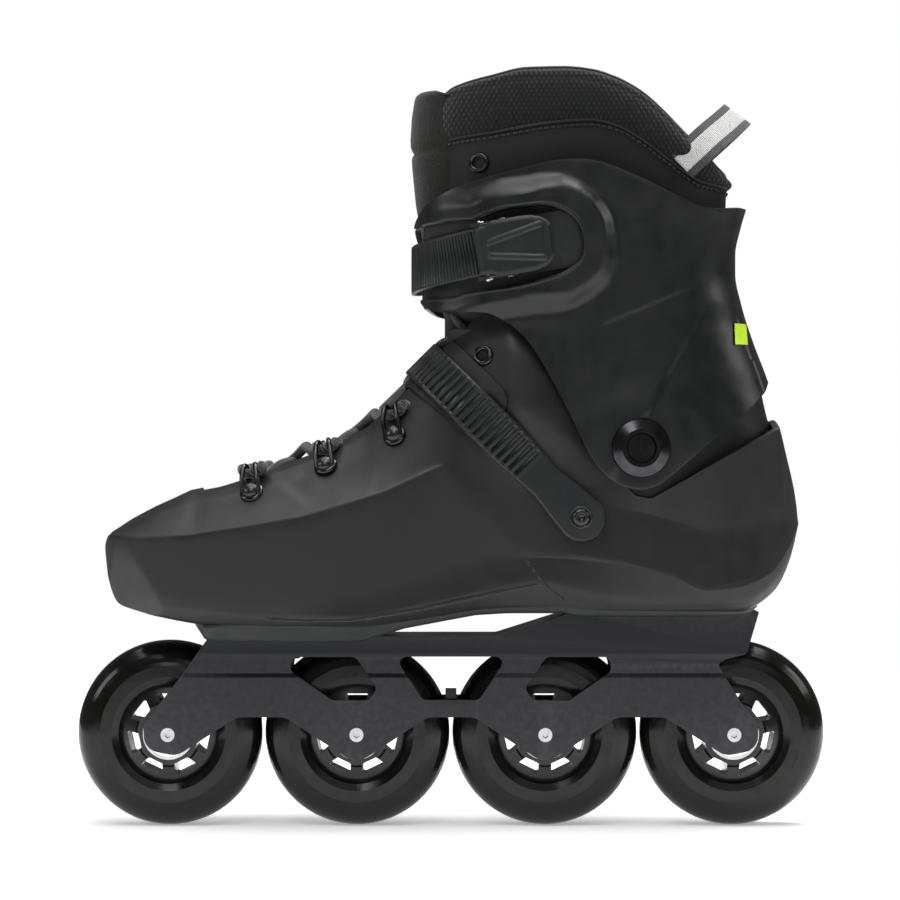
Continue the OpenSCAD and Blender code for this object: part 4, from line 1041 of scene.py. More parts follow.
band_grid, panel_grid, lining_grid = liner_parts()
band = grid_mesh("liner_band", band_grid)
panel = grid_mesh("liner_knit_panel", panel_grid)
panel_index = np.arange(panel_grid.shape[0] * panel_grid.shape[1]).reshape(panel_grid.shape[:2])
held = np.concatenate([panel_index[[0, 1, RIM_ROW, -2, -1]].ravel(), panel_index[:, [0, -1]].ravel()])
swell(panel, held)
lining = grid_mesh("liner_lining", lining_grid)
edges = []
for side, sign in ((0, 1), (-1, -1)):
    outer = np.concatenate([band_grid[:, side], panel_grid[1:22, side]])
    inner = np.concatenate([lining_grid[::-1, side], panel_grid[-1:21:-1, side]])
    outer, inner = resample(outer, 60), resample(inner, 60)
    strip = np.stack([outer, (outer + inner) / 2 + [0, -1.2, 0], inner])
    edges.append(grid_mesh("liner_edge", strip, flip=sign > 0))
edge = join("liner_front_edges", edges)
for obj, mat in ((band, "band"), (panel, "mesh"), (lining, "lining"), (edge, "band")):
    place_piece(obj, None, "liner_collar", slot="liner_fabric", mat=M[mat])
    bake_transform(obj)


def on_liner(u, z, out=0.0, side=1):
    """Point on the collar's outer skin at a place on its side."""
    a = np.radians(np.linspace(-85, 90, 3000))
    x, y = liner_point(a, z, out)
    i = int(np.argmin(np.abs(y - u)))
    return side * float(x[i]), float(y[i]), z


def seam_path(offset, z_shift):
    """Path along the collar's seam, moved outward and in height."""
    pts = []
    for a in liner_angles(240, 15.2):
        z = 295.0
        for _ in range(10):
            z = float(SEAM(liner_point(a, z)[1]))
        x, y = liner_point(a, z + z_shift, offset)
        pts.append((x, y, z + z_shift))
    return pts


def stitches(name, path, pitch, length, radius):
    """Row of single stitches along a path."""
    p = resample(path, 1200)
    s = lengths(p)
    parts = []
    for start in np.arange(0.5, s[-1] - length, pitch):
        q = np.linspace(start, start + length, 5)
        pts = np.stack([np.interp(q, s, p[:, k]) for k in range(3)], 1)
        parts.append(tube_mesh(name, pts, radius, sides=6, radii=[0.45, 1, 1.1, 1, 0.45]))
    return join(name, parts)


seam_cord = tube_mesh("liner_seam_cord", seam_path(-0.15, 0.1), 0.75, sides=8)
place_piece(seam_cord, "cuff", slot="liner_fabric", mat=M["piping"])
sewn = stitches("liner_seam_stitches", seam_path(0.28, -2.1), pitch=2.7, length=1.8, radius=0.42)
place_piece(sewn, "cuff", slot="liner_fabric", mat=M["thread"])
rim_cord = tube_mesh("liner_rim_piping", panel_grid[RIM_ROW] + [0, 0, 0.1], 0.85, sides=8)
place_piece(rim_cord, "cuff", slot="liner_fabric", mat=M["piping"])
edge_cords = []
for side in (0, -1):
    path = np.concatenate([band_grid[18:, side], panel_grid[1:RIM_ROW + 1, side]])
    edge_cords.append(tube_mesh("liner_edge_piping", resample(path, 80) + [0, -0.2, 0], 0.95, sides=8))
cord = join("liner_edge_piping", edge_cords)
place_piece(cord, "cuff", slot="liner_fabric", mat=M["piping"])

# Collar eyelet ring on either side
ring_parts = []
for side in (1, -1):
    turn = np.linspace(0, 2 * math.pi, 29)[:-1]
    spots = [(11.8 + 3.3 * math.cos(t), 283.8 + 3.3 * math.sin(t)) for t in turn]
    ring = [on_liner(u, z, 0.5, side) for u, z in spots]
    ring_parts.append(tube_mesh("ring", ring, 0.95, closed=True, sides=8))
ring = join("liner_eyelet_rings", ring_parts)
place_piece(ring, "cuff", slot="black_metal", mat=M["black_metal"])

def lower_liner(name):
    """Padded walls round the heel and the ankle, down to the sole of the liner."""
    rows = []
    for k in range(121):
        a = math.radians(-52 + 284 * k / 120)
        col = []
        for z in np.linspace(98, 158, 22):
            x, y = liner_point(a, max(z, 112))
            f = 0.86 + 0.14 * smoothstep(98, 110, z)      # drawn in towards the sole
            col.append((f * x, 70 + f * (y - 70), z))
        rows.append(col)
    return solid(grid_mesh(name, rows, flip=True), thickness=5.0, edge=1.2)


place_piece(lower_liner("liner_heel"), "boot", "liner_foot", slot="liner_fabric", mat=M["lining"])


# ---- tongue: padded strip up the front, from the toes to above the cuff
TONGUE_FRONT = [(-14.6, 313.5), (-15.8, 306), (-16.4, 296), (-15.6, 284), (-14, 268), (-11, 252), (-8, 240),
                (-4.5, 230), (-1.5, 219), (-1.5, 208), (-8.5, 196.5), (-19, 185), (-34, 168.5),
                (-48, 161.2), (-72, 150.8), (-90, 143.8), (-102, 139.4)]
TONGUE_WIDTH = line((0, 25), (0.1, 26), (0.35, 25), (0.5, 23.5), (0.62, 22), (0.85, 18), (1, 12))


def tongue_grid(thickness, inner, puff=0.0):
    """Front face (inner 0) or back face (inner 1) of the tongue, from its top down to the toes."""
    count, across = 150, 40
    path = resample(TONGUE_FRONT, count)
    tangent = directions(path)
    normal = np.stack([-tangent[:, 1], tangent[:, 0]], 1)      # towards the foot
    rows = []
    for k, (p, n) in enumerate(zip(path, normal)):
        t = k / (count - 1)
        half = float(TONGUE_WIDTH(t))
        row = []
        for q in np.linspace(-1, 1, across):
            x = half * q
            wrap = (0.55 * half * q**2 + 0.25 * half * q**4) * (1 - 0.35 * t)
            depth = inner * thickness * (1 - 0.55 * q**4)
            lip = 1.2 * (1 - inner) * (1 - q**2) * puff
            lip -= (1 - inner) * 1.3 * math.exp(-((p[1] - 290.5) / 1.3)**2)
            d = wrap + depth - lip
            row.append((x, p[0] + n[0] * d, p[1] + n[1] * d))
        rows.append(row)
    return np.array(rows)


def tongue(name):
    front = tongue_grid(9, 0, puff=1.0)
    back = tongue_grid(9, 1)
    ring = np.concatenate([front, back[:, ::-1]], 1)
    n, m = ring.shape[:2]
    verts = ring.reshape(-1, 3).tolist()
    faces = grid_faces(n, m, wrap=True)
    # rounded top: rings that close over the pad
    for level, (shrink, rise) in enumerate(((0.94, 1.6), (0.8, 2.8), (0.55, 3.5), (0.25, 3.8))):
        middle = ring[0].mean(0)
        top = middle + (ring[0] - middle) * [1 - 0.12 * (1 - shrink), shrink, 1] + [0, 0, rise]
        first = len(verts)
        verts += top.tolist()
        prev = 0 if level == 0 else first - m
        faces += [(prev + (j + 1) % m, prev + j, first + j, first + (j + 1) % m) for j in range(m)]
    faces.append(tuple(range(len(verts) - m, len(verts))))
    last = (n - 1) * m
    faces.append(tuple(last + j for j in range(m))[::-1])
    return add_mesh(name, verts, faces)


tongue_pad = place_piece(tongue("tongue"), None, "tongue_foot", "tongue_collar", slot="tongue_fabric",
                         mat=M["nap"])
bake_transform(tongue_pad)

# ---- pull loop: flat webbing over the back, from one side of the collar to the other
LOOP = [(38.2, 97, 282.4), (36.6, 100.4, 285.6), (33.4, 105.2, 290), (27, 110.6, 295.2), (14, 118.3, 302),
        (5, 123, 306.4), (0, 124.4, 307.8)]


def loop_strip(name, w0, w1, rise=0.0):
    """Strip of the webbing between two distances across it, raised off the middle one."""
    half = np.array(LOOP)
    path = soften(resample(np.concatenate([half, (half * [-1, 1, 1])[-2::-1]]), 150), 20)
    rows = []
    for p, t in zip(path, directions(path)):
        lean = np.array([0, 0.80, -0.60])
        across = lean - t * (lean @ t)
        across /= np.linalg.norm(across)
        n = np.cross(across, t)
        rows.append([p + across * w + n * rise for w in np.linspace(w0, w1, 8)])
    return solid(grid_mesh(name, rows), thickness=1.3, edge=0.3, offset=0)


centre = loop_strip("pull_loop_centre", -4.0, 4.0)
place_piece(centre, "cuff", "pull_loop", slot="webbing", mat=M["tape"])
for sign, label in ((1, "rear"), (-1, "front")):
    edge_strip = loop_strip(f"pull_loop_{label}_edge", sign * 3.9, sign * 7.2, 0.12)
    place_piece(edge_strip, "cuff", slot="webbing", mat=M["tape_edge"])


# ---------------------------------------------------------------- laces, hooks and eyelets

HOOKS = [(-84.2, 144.8), (-52.9, 156.0), (-23.8, 169.1)]


def shell_surface(u, z):
    """Point on the shell's outer side and its outward normal."""
    def at(u, z):
        s = shell_section(u)
        return float(np.interp(z, s[20:, 1], s[20:, 0]))
    x = at(u, z)
    e = 0.8
    n = np.array([1.0, -(at(u + e, z) - at(u - e, z)) / (2 * e), -(at(u, z + e) - at(u, z - e)) / (2 * e)])
    n /= np.linalg.norm(n)
    return np.array([x + float(SHIFT(u)) * (x / 45), u, z]), n


def surface_place(u, z, side):
    """Turns (along, across, out) at a place on the shell's side into a point, on either side."""
    p, n = shell_surface(u, z)
    along = -np.cross([0, 1.0, 0], n)
    along /= np.linalg.norm(along)
    across = np.cross(n, along)

    def place(a, b, c):
        q = p + a * along + b * across + c * n
        return np.array([side * q[0], q[1], q[2]])

    return place


def hook_place(k, side):
    u, z = HOOKS[k]
    return surface_place(u, z - 0.6, side)


def lathe(name, profile, place, sides=28):
    """Round solid over a profile of [radius, height]."""
    turn = np.linspace(0, 2 * math.pi, sides + 1)[:-1]
    return ring_solid(name, [[place(r * math.cos(t), r * math.sin(t), h) for t in turn] for r, h in profile])


hook_parts, rivet_parts = [], []
for side in (1, -1):
    for k in range(3):
        place = hook_place(k, side)
        hook_parts.append(lathe("hook_base", [(5.1, -0.8), (5.1, 0.5), (4.7, 1.1), (3.4, 1.2)], place))
        dome = [(4.0, 0.9), (3.9, 2.0), (3.2, 3.1), (1.9, 3.9), (0.3, 4.2)]
        rivet_parts.append(lathe("hook_dome", dome, place))
        for b in (-3.3, 3.3):
            wire = [(-2, b * 0.9, 0.9), (0.5, b * 1.05, 2.2), (4.5, b, 4.6), (8.5, b * 0.86, 5.6),
                    (11.6, b * 0.72, 5.2), (13, b * 0.62, 3.6), (12.9, b * 0.6, 1.6), (11.2, b * 0.6, 0.2),
                    (8.6, b * 0.6, -0.2)]
            pts = soften(resample([place(*w) for w in wire], 44), 5)
            hook_parts.append(tube_mesh("hook_wire", pts, 1.05))
hooks = join("lace_hooks_formed", hook_parts)
place_piece(hooks, "boot", "lace_hooks", slot="black_metal", mat=M["black_metal"])
domes = join("lace_hook_domes", rivet_parts)
place_piece(domes, "boot", "lace_rivets", slot="black_metal", mat=M["hub"])


def tongue_height(u):
    """Height of the tongue's front face at its middle."""
    p = np.array(sorted(TONGUE_FRONT))
    lower = p[p[:, 1] < 225]
    return float(np.interp(u, lower[:, 0], lower[:, 1]))


def lace_run(a, b, over, wave=0.0):
    """Cord from one place to another across the tongue, wavy and resting on it."""
    a, b = np.array(a, float), np.array(b, float)
    pts = []
    for t in np.linspace(0, 1, 44):
        p = a + t * (b - a)
        p[1] += wave * math.sin(3.4 * math.pi * t)
        seat = tongue_height(p[1]) + over - 0.016 * p[0]**2 + 0.5 * abs(wave) * math.sin(4.6 * math.pi * t)
        hold = smoothstep(0, 0.16, min(t, 1 - t))
        p[2] += hold * (seat - p[2])
        pts.append(p)
    return soften(np.array(pts), 3)


LACE = 2.15      # radius of the cord
lace_parts = []
for k in range(3):
    for side in (1, -1):
        # loop of cord round the hook's throat
        place = hook_place(k, side)
        u_turn = [(14, -4.4, 1.6), (10.5, -3.6, 2.1), (8.6, 0, 2.3), (10.5, 3.6, 2.1), (14, 4.4, 1.6)]
        pts = soften(resample([place(*w) for w in u_turn], 26), 4)
        lace_parts.append(tube_mesh("lace_turn", pts, LACE, sides=12))
ends = {(k, side): [hook_place(k, side)(13.6, b, 1.7) for b in (-4.3, 4.3)]
        for k in range(3) for side in (1, -1)}
lace_parts.append(tube_mesh("lace_bottom", lace_run(ends[0, 1][0], ends[0, -1][1], 4.6), LACE, sides=12))
for k in range(2):
    for start, end, over, wave in ((ends[k, 1][1], ends[k + 1, -1][1], 5.2, 1.4),
                                   (ends[k, -1][0], ends[k + 1, 1][0], 8.2, -1.8)):
        lace_parts.append(tube_mesh("lace_cross", lace_run(start, end, over, wave), LACE, sides=12))
# past the last hooks the cords cross and run up the tongue into the eyelets
for side, over in ((1, 2.6), (-1, 5.4)):
    start = ends[2, side][1 if side > 0 else 0]
    path = [start, (side * 9, -19, tongue_height(-19) + over + 2),
            (-side * 6, -10, tongue_height(-10) + over + 1), (-side * 13, -4, 203 + over),
            (-side * 20, 3, 210), (-side * 25, 9, 211), (-side * 30, 12.2, 206.5)]
    lace_parts.append(tube_mesh("lace_upper", soften(resample(path, 70), 14), LACE * 0.92, sides=12))
    # second cord beside it, up to the ankle and into the cuff's opening
    path = [(-side * 28, 11, 205), (-side * 22, 6, 213), (-side * 12, 2, 219), (-side * 5, -0.5, 224),
            (side * 3, -3.5, 230)]
    lace_parts.append(tube_mesh("lace_top", soften(resample(path, 40), 10), LACE * 0.85, sides=12))
laces = join("laces_cord", lace_parts)
ring_parts, shade_cap_parts = [], []
for side in (1, -1):
    place = surface_place(13.6, 202, side)
    ring = [(2.5, -3), (2.5, 0.7), (2.9, 1.25), (3.7, 1.3), (4.4, 0.8), (4.6, -0.4)]
    ring_parts.append(lathe("ring", ring, place))
    # painted shade: a near-black cap fills each eyelet's hole
    shade_cap_parts.append(lathe("core", [(2.8, -3), (2.8, 0.3), (1.2, 0.25), (0.3, 0.25)], place))
hole_shade_caps = join("shell_eyelet_openings", shade_cap_parts)
place_piece(hole_shade_caps, "boot", slot="black_metal", mat=M["hollow"])
eyelets = join("shell_eyelet_rings", ring_parts)
place_piece(eyelets, "boot", "shell_eyelets", slot="black_metal", mat=M["black_metal"])
place_piece(laces, "boot", "laces", slot="lace_cord", mat=M["lace"])


# ---------------------------------------------------------------- straps and buckles

INSTEP_AT = np.array([0, 54.5, 134.0])
INSTEP_UP = np.array([0, -math.sqrt(0.5), math.sqrt(0.5)])      # along the strap
INSTEP_ACROSS = np.array([0, -math.sqrt(0.5), -math.sqrt(0.5)])  # across it, towards the toe
INSTEP_X, INSTEP_RISE = 46.2, 94.3
LOBE, LOBE_END, RIBS_FROM = 10.2, 10.5, 30      # the lobe's radius, its end below the screw, the first rib


def arch_path(inset, a0, a1, count):
    """Points [x, s] over the instep and their outward directions."""
    a = np.radians(np.linspace(a0, a1, count * 6))
    c, s, power = np.cos(a), np.sin(a), 2 / 3.4
    x = (INSTEP_X - inset) * np.sign(c) * np.abs(c)**power
    y = (INSTEP_RISE - inset) * np.abs(s)**power
    p = resample(np.stack([x, y], 1), count)
    t = directions(p)
    return p, np.stack([t[:, 1], -t[:, 0]], 1)


def instep_point(x, s, w):
    return np.array([x, 0, 0]) + INSTEP_AT + s * INSTEP_UP + w * INSTEP_ACROSS


def over_shell(p, clear):
    """The point itself, or moved sideways to lie clear of the shell's skin."""
    if abs(p[0]) > 16 and p[2] < TOP(p[1]) - 0.5:
        skin = shell_surface(p[1], p[2])[0][0] + clear
        return np.array([math.copysign(max(abs(p[0]), skin), p[0]), p[1], p[2]])
    return p


def strap_solid(name, frames, half, profile):
    """Solid strap along frames of (point, outward, across) with a cross-section by station.

    half gives the strap's half width and profile its [across, out] section at a station.
    """
    return ring_solid(name, [[p + n * o + w * a for a, o in profile(k, half(k))]
                             for k, (p, n, w) in enumerate(frames)])


def ribbed(rib_pitch, rib_from, rib_to, base, rail, rib, rail_w=1.7, under=-1.2):
    """Section of a ratchet strap at a length: flat, with rails at the sides and ribs across."""
    def profile(s, half):
        on = rib_from <= s <= rib_to
        wave = math.cos(2 * math.pi * s / rib_pitch)
        mid = base + (rib * float(np.clip(0.5 + 1.6 * wave, 0, 1)) if on else 0)
        edge = base + (rail if on else 0)
        r = rail_w
        return [(-half, under + 0.4), (-half, edge - 0.4), (-half + 0.4, edge), (-half + r, edge),
                (-half + r + 0.25, mid), (0, mid + 0.02), (half - r - 0.25, mid), (half - r, edge),
                (half - 0.4, edge), (half, edge - 0.4), (half, under + 0.4), (half - 0.5, under),
                (-half + 0.5, under)]
    return profile


def instep_strap_visual(name):
    """Ratchet strap over the instep, with a round lobe at its screw; lengths run from the screw."""
    p, n = arch_path(0, 1, 176.5, 1100)
    straight = [(INSTEP_X, -LOBE_END + LOBE_END * t) for t in np.linspace(0, 1, 50)[:-1]]
    pts = np.concatenate([straight, p])
    nrm = np.concatenate([[(1, 0)] * len(straight), n])
    s = lengths(pts) - LOBE_END
    mid = np.array([instep_point(x, t, 0) for x, t in pts])
    push = np.zeros(len(mid))
    for k, q in enumerate(mid):
        # the strap lies on its pad, and the pad on the shell
        clear = float(np.interp(s[k], [0, 40, 56, 60], [1.6, 2.0, 3.4, 3.4])) if pts[k][0] > 0 else 1.6
        near = [over_shell(q + w * INSTEP_ACROSS, clear) - q - w * INSTEP_ACROSS for w in (-6, 0, 6)]
        push[k] = max(abs(d[0]) for d in near)
    mid[:, 0] += np.sign(mid[:, 0]) * soften(push, 60)
    frames = [(q, np.array([a, 0, 0]) + b * INSTEP_UP, INSTEP_ACROSS) for q, (a, b) in zip(mid, nrm)]

    def half(k):
        if s[k] < 0:
            return math.sqrt(max(0.01, LOBE**2 - s[k] * s[k]))
        return float(np.interp(s[k], [0, 6, 20, 32, 44, 250], [LOBE, 9.6, 7.7, 8.3, 8.9, 8.9]))

    def profile(k, h):
        if s[k] >= RIBS_FROM:
            return ribbed(3.4, RIBS_FROM, 176, base=0.3, rail=1.5, rib=1.5)(s[k], h)
        lift = float(np.interp(s[k], [-LOBE_END, 0, 18, RIBS_FROM], [1.6, 2.0, 1.7, 1.7]))
        e = min(1.2, h * 0.3)
        return [(-h, -0.8), (-h, lift - 0.9), (-h + e * 0.4, lift - 0.25), (-h + e, lift),
                (-h + e + 0.3, lift), (0, lift + 0.15), (h - e - 0.3, lift), (h - e, lift),
                (h - e * 0.4, lift - 0.25), (h, lift - 0.9), (h, -0.8), (h - 0.3, -1.2), (-h + 0.3, -1.2)]

    return strap_solid(name, frames, half, profile)


strap_i = instep_strap_visual("instep_strap_ribbed")
place_piece(strap_i, "boot", "instep_strap", slot="strap_plastic", mat=M["strap"])


ends_x = [float(v.co.x) * 1000 for v in strap_i.data.vertices
          if math.hypot(v.co.y * 1000 - INSTEP_AT[1], v.co.z * 1000 - INSTEP_AT[2]) < 6 and v.co.x > 0]
SCREW_AT = np.array([max(ends_x) - 0.1, INSTEP_AT[1], INSTEP_AT[2]])
# Domed head in a countersink ring, with a round socket
SCREW_HEAD = [(4.9, -1.6), (4.9, 0.35), (4.65, 0.6), (4.15, 0.6), (3.95, 0.1), (3.65, 0.15), (3.4, 0.75),
              (2.6, 1.25), (1.75, 1.35), (1.6, 1.2), (1.5, 0.3), (0.2, 0.25)]
screw_head = lathe("instep_strap_screw_head", SCREW_HEAD, lambda a, b, c: SCREW_AT + np.array([c, a, b]), 36)
place_piece(screw_head, "boot", "instep_strap_screw", slot="black_metal", mat=M["hub"])


def instep_pad_visual(name):
    """Shield under the strap with a tab towards the ankle and one towards the toes."""
    p, n = arch_path(2.3, 24, 156, 120)
    s = lengths(p)
    rows = []
    for k, ((x, t), (a, b)) in enumerate(zip(p, n)):
        q = min(s[k], s[-1] - s[k])
        up = float(np.interp(q, [0, 1, 2.5, 5, 8, 60], [7.8, 11, 12.9, 14.2, 14.8, 15.2]))
        down = float(np.interp(q, [0, 3, 20, 35, 50], [8, 9.2, 10.4, 12, 13]))
        o = np.array([a, 0, 0]) + b * INSTEP_UP
        row = []
        for w in np.concatenate([[-up], np.linspace(-up + 0.8, down - 0.8, 22), [down]]):
            edge = -0.5 if w in (-up, down) else 0
            row.append(over_shell(instep_point(x, t, w) + o * edge, 1.1))
        rows.append(row)
    return solid(grid_mesh(name, rows, flip=True), thickness=1.6, edge=0.6, offset=0)


# the shield takes the darker plastic: painted shade under the strap
place_piece(instep_pad_visual("instep_pad_shield"), "boot", "instep_pad", slot="strap_plastic",
            mat=M["inner"])

# Height of the ankle strap over u
ANKLE_LINE = line((-60, 230.4), (-40, 234.2), (-15, 239.2), (12, 245.1), (33, 248.4), (47, 250.6),
                  (70, 253.8))


def ankle_frames(a0, a1, count, out):
    """Frames for strap_solid round the cuff, lengths along them and their points on the cuff."""
    angles = np.radians(np.linspace(a0, a1, 6000))
    z = np.full(len(angles), 240.0)
    for _ in range(4):
        x, y = oval(CUFF_FRONT(z), CUFF_REAR(z), CUFF_HALF(z), CUFF_N, angles)
        z = ANKLE_LINE(y)
    p = resample(np.stack([x, y, z], 1), count)
    t = directions(p)
    n = np.cross(t, [0, 0, 1.0])
    n /= np.linalg.norm(n, axis=1)[:, None]
    n *= np.sign((n[:, 0] * p[:, 0] + n[:, 1] * (p[:, 1] - 54)))[:, None]
    w = np.cross(n, t)
    w *= np.sign(w[:, 2])[:, None]
    return [(q + m * out, m, c) for q, m, c in zip(p, n, w)], lengths(p), p


def ankle_strap_visual(name):
    """Ratchet strap round the cuff's front, from the inner side's screw into the buckle."""
    frames, s, p = ankle_frames(176, 345, 1500, 3.0)
    keep = [k for k in range(len(p)) if not (p[k][0] > 0 and p[k][1] > 54)]
    frames, s, p = [frames[k] for k in keep], s[keep] - s[keep[0]], p[keep]
    end = s[-1]
    fine_from = float(s[np.argmax(np.array([abs(q[0]) < 42 and q[1] < 10 for q in p]))])

    def half(k):
        d = s[k]
        near_screw = float(np.interp(d, [0, 4, 9, 20], [8.0, 10.0, 10.4, 10.2]))
        return min(near_screw, float(np.interp(end - d, [0, 1.5, 5], [6.5, 9.0, 10.4])))

    def profile(k, h):
        d = s[k]
        if d < fine_from:
            return [(-h, -0.7), (-h, 0.6), (-h + 0.4, 1.1), (-h + 1.2, 1.3), (-h + 1.5, 1.3), (0, 1.4),
                    (h - 1.5, 1.3), (h - 1.2, 1.3), (h - 0.4, 1.1), (h, 0.6), (h, -0.7), (h - 0.4, -1.1),
                    (-h + 0.4, -1.1)]
        return ribbed(1.45, 0, math.inf, base=0.3, rail=0.75, rib=0.8, rail_w=1.1, under=-1.1)(d, h)

    return strap_solid(name, frames, half, profile)


place_piece(ankle_strap_visual("ankle_strap_ribbed"), "cuff", "ankle_strap", slot="strap_plastic",
            mat=M["strap"])


# Levers of both buckles, in the buckle's own axes: out of the boot, along the strap, across it
def turned(x_deg=0.0, z_deg=0.0):
    about_x = Matrix.Rotation(math.radians(x_deg), 3, "X")
    return np.array(about_x @ Matrix.Rotation(math.radians(z_deg), 3, "Z"))


ANKLE_TURN, ANKLE_AT = turned(9, -9), np.array([46, 33, 248.4])
INSTEP_TURN, HALF_TURN, INSTEP_BUCKLE_AT = turned(135), turned(0, 180), INSTEP_AT + [-43.4, 0, 0]


def ankle_buckle(x, y, z):
    return ANKLE_AT + ANKLE_TURN @ np.array([x, y, z])


def instep_buckle(x, y, z):
    return INSTEP_BUCKLE_AT + INSTEP_TURN @ (HALF_TURN @ np.array([x, y, z]) + np.array([0, -24, 0]))


# [name, axes, half width, body of the lever, body of the springs]
BUCKLES = (("ankle", ankle_buckle, 10.2, "ankle_lever", "cuff"),
           ("instep", instep_buckle, 7.7, "instep_lever", "boot"))
LEVER_FLARE = 1.1      # of the plate past the hinge, against its width there


def lever_plate(name, place, half):
    """Plate of the lever: rounded free end, raised trapezoid and thumb grip."""
    cols, rows = 61, 81
    ys = np.linspace(-20.2, 9.8, rows)
    grid = []
    for y in ys:
        h = half * float(np.interp(y, [-20.2, -15.5, -13, 0, 3.5, 6.5, 8.6, 9.8],
                                   [0.94, 0.96, LEVER_FLARE, LEVER_FLARE, 1.07, 0.98, 0.84, 0.66]))
        row = []
        for q in np.linspace(-1, 1, cols):
            z = h * q
            top = float(np.interp(y, [-20.2, -19, -14, -4, 6, 9.8], [8.6, 9.7, 10.3, 10.75, 10.35, 9.5]))
            # raised trapezoid that widens towards the free end
            t = (y + 15) / 21
            limit = half * (0.34 + 0.4 * t)
            inside = smoothstep(-16.2, -15.2, y) * (1 - smoothstep(6.4, 7.6, y))
            border = (1 - smoothstep(limit - 0.5, limit + 0.5, abs(z)))
            rim = smoothstep(limit - 1.7, limit - 0.9, abs(z)) * border
            top += inside * (0.25 * border + 0.5 * rim)
            top -= 0.7 * smoothstep(h - 1.3, h, abs(z))
            row.append(place(top, y, z))
        grid.append(row)
    return solid(grid_mesh(name, grid, flip=place is instep_buckle), thickness=1.5, edge=0.35)


def lever_ears(name, place, half):
    """Side ears of the lever at the hinge."""
    outline = [(5.2, -20.6), (9.0, -20.6), (9.8, -18.5), (10.0, -12), (8.4, -10.6), (6.6, -13), (4.2, -16.4)]
    obj = join(name, [prism(name, outline, s * (half - 1.6), s * (half - 0.2), place) for s in (-1, 1)])
    bevel(obj, 0.4)
    return obj


for label, place, half, body, _ in BUCKLES:
    for part, form in (("plate", lever_plate), ("ears", lever_ears)):
        place_piece(form(f"{label}_lever_{part}", place, half), body, f"{label}_buckle_lever",
                    slot="lever_plastic", mat=M["buckle"])

# Coiled springs at the ends of the hinge pins
for label, place, half, _, body in BUCKLES:
    coils = []
    for sign in (1, -1):
        pts = [place(6.4 + 1.6 * math.cos(a), -18 + 1.6 * math.sin(a), sign * (half + 0.4 + 0.1 * a))
               for a in np.linspace(0, 6 * math.pi, 70)]
        coils.append(tube_mesh("coil", pts, 0.42, sides=6))
        rod = [place(8.0, y, sign * (half + 1.1)) for y in (-18, -15.4, -12.8)]
        coils.append(tube_mesh("spring_arm", rod, 0.42, sides=8))
    springs = join(f"{label}_buckle_springs", coils)
    place_piece(springs, body, slot="pin_chrome", mat=M["bright"])


# ---------------------------------------------------------------- looks of the shown CAD nodes

# Material of each node and width of its edges' bevel in mm
CAD_LOOKS = {
    "frame": ("frame", 0.5), "frame_bolts": ("steel", 0.2), "frame_washers": ("steel", 0.15),
    "mount_inserts": ("steel", 0.2), "axles": ("steel", 0.35), "axle_spacers": ("steel", 0.2),
    "bearing_inner_races": ("steel", 0.2), "shock_absorber": ("foam", 0.8), "insole": ("foam", 0.8),
    "instep_buckle_base": ("buckle", 0.3), "instep_buckle_pins": ("bright", 0.2),
    "instep_buckle_screw": ("black_metal", 0.3), "cuff_pivot_bolts": ("black_metal", 0.3),
    "cuff_pivot_washers": ("black_metal", 0.25), "cuff_pivot_nuts": ("steel", 0.3),
    "ankle_strap_screw": ("black_metal", 0.3),
    "ankle_buckle_base": ("buckle", 0.25), "ankle_buckle_pins": ("bright", 0.2),
    "ankle_buckle_screw": ("black_metal", 0.3), "ankle_buckle_catch": ("black_metal", 0.2),
    "instep_buckle_catch": ("black_metal", 0.2),
}
for i in range(1, 5):
    CAD_LOOKS[f"tyre_{i}"] = ("tyre", 0.4)
    CAD_LOOKS[f"hub_{i}"] = ("hub", 0.35)
    CAD_LOOKS[f"bearing_outer_races_{i}"] = ("steel", 0.2)
    CAD_LOOKS[f"bearing_balls_{i}"] = ("bright", 0)
    CAD_LOOKS[f"bearing_shields_{i}"] = ("bright", 0.1)

for obj in list(bpy.data.objects):
    node = obj.name.split(".")[0]
    if node in CAD_LOOKS and obj.type == "MESH":
        look, width = CAD_LOOKS[node]
        obj.data.materials.clear()
        obj.data.materials.append(M[look])
        if width:
            bevel(obj, width, 2, 28)


# ---------------------------------------------------------------- stage, light and camera

WORLD_LIGHT = 0.1      # of the room on the skate, against the white the camera sees


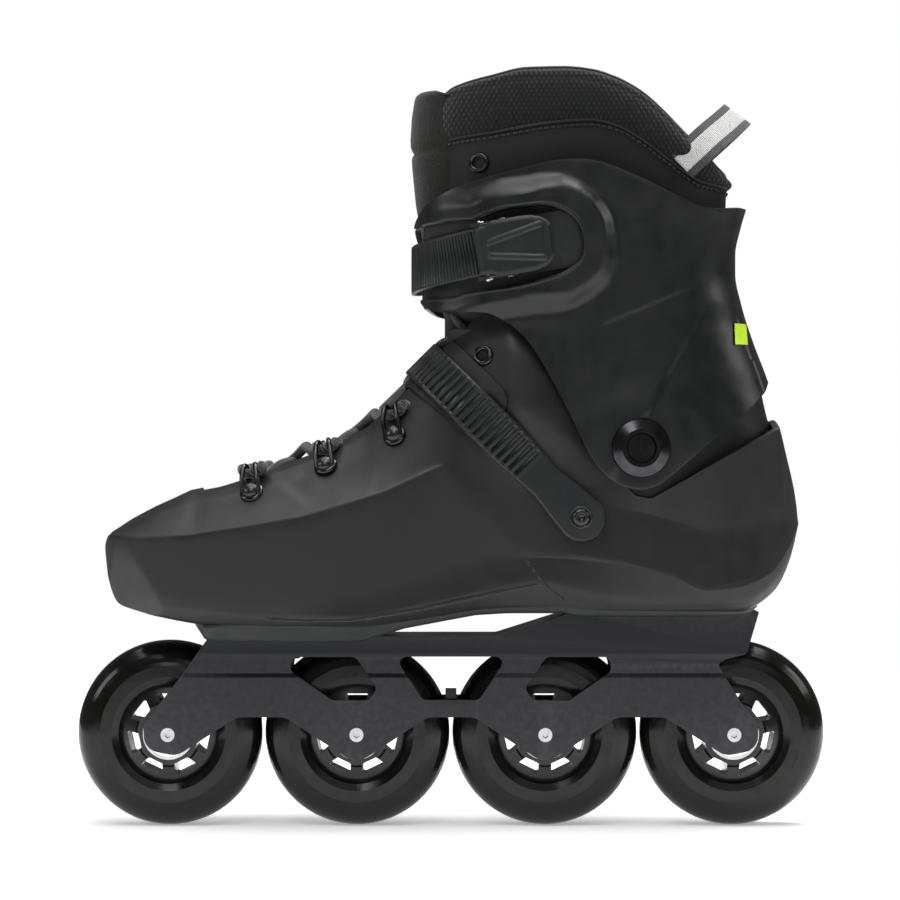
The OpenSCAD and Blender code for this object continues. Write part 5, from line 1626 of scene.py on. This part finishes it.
def stage():
    floor_mat = Look("pale_floor", (0.93, 0.93, 0.93), 0.8)
    floor_mat.roughness(floor_mat.noise(60, 3), 0.75, 0.9)
    floor_mat.set("Specular IOR Level", 0.1)
    floor_mat.set("Emission Color", (1, 1, 1, 1))
    floor_mat.set("Emission Strength", 0.35)
    rows = [[(x, y, 0) for y in np.linspace(-900, 900, 5)] for x in np.linspace(900, -900, 5)]
    floor = grid_mesh("floor", rows)
    floor.data.materials.append(floor_mat.mat)
    world = bpy.data.worlds.new("studio")
    bpy.context.scene.world = world
    world.use_nodes = True
    nodes, links = world.node_tree.nodes, world.node_tree.links
    background = nodes["Background"]
    seen = nodes.new("ShaderNodeLightPath").outputs["Is Camera Ray"]
    level = nodes.new("ShaderNodeMapRange")
    links.new(seen, level.inputs["Value"])
    level.inputs["To Min"].default_value, level.inputs["To Max"].default_value = WORLD_LIGHT, 1.0
    links.new(level.outputs[0], background.inputs["Strength"])
    background.inputs["Color"].default_value = (1, 1, 1, 1)


def area_light(name, place, target, size, power, size_y):
    data = bpy.data.lights.new(name, "AREA")
    data.energy = power
    data.size = size
    if size_y:
        data.shape, data.size_y = "RECTANGLE", size_y
    obj = bpy.data.objects.new(name, data)
    obj.location = place
    obj.rotation_euler = (Vector(target) - Vector(place)).to_track_quat("-Z", "Y").to_euler()
    bpy.context.collection.objects.link(obj)


def camera():
    """Square on to the outer side, at the photograph's height and framing."""
    lens, sensor, distance = 129.12, 36.0, 1.4
    data = bpy.data.cameras.new("camera")
    data.lens, data.sensor_width = lens, sensor
    data.clip_start, data.clip_end = 0.05, 50
    obj = bpy.data.objects.new("camera", data)
    obj.location = (distance, -0.0004, 0.1622)
    obj.rotation_euler = (math.radians(90), 0, math.radians(90))
    bpy.context.collection.objects.link(obj)
    bpy.context.scene.camera = obj


# [name, place, what it points at, size, power, height where it isn't square], in metres and watts
LIGHTS = [("top_box", (0.0, 0.0, 1.5), (0, 0, 0), 1.8, 21, None),
          ("front_box", (1.5, 0.35, 0.75), (0, 0.05, 0.15), 0.9, 1.1, None),
          ("ankle_strip", (-0.17, 0.26, 1.0), (0.05, 0.05, 0.26), 0.45, 6.0, 0.22),
          ("top_strip", (0.55, -0.15, 0.95), (0, 0.02, 0.22), 0.22, 3.2, 0.9),
          ("toe_box", (0.35, -1.2, 0.7), (0, -0.05, 0.15), 0.5, 3, None),
          ("heel_box", (0.1, 1.2, 0.75), (0, 0.05, 0.18), 0.5, 3, None)]

stage()
for light in LIGHTS:
    area_light(*light)
camera()
bpy.context.scene.view_settings.view_transform = "Standard"
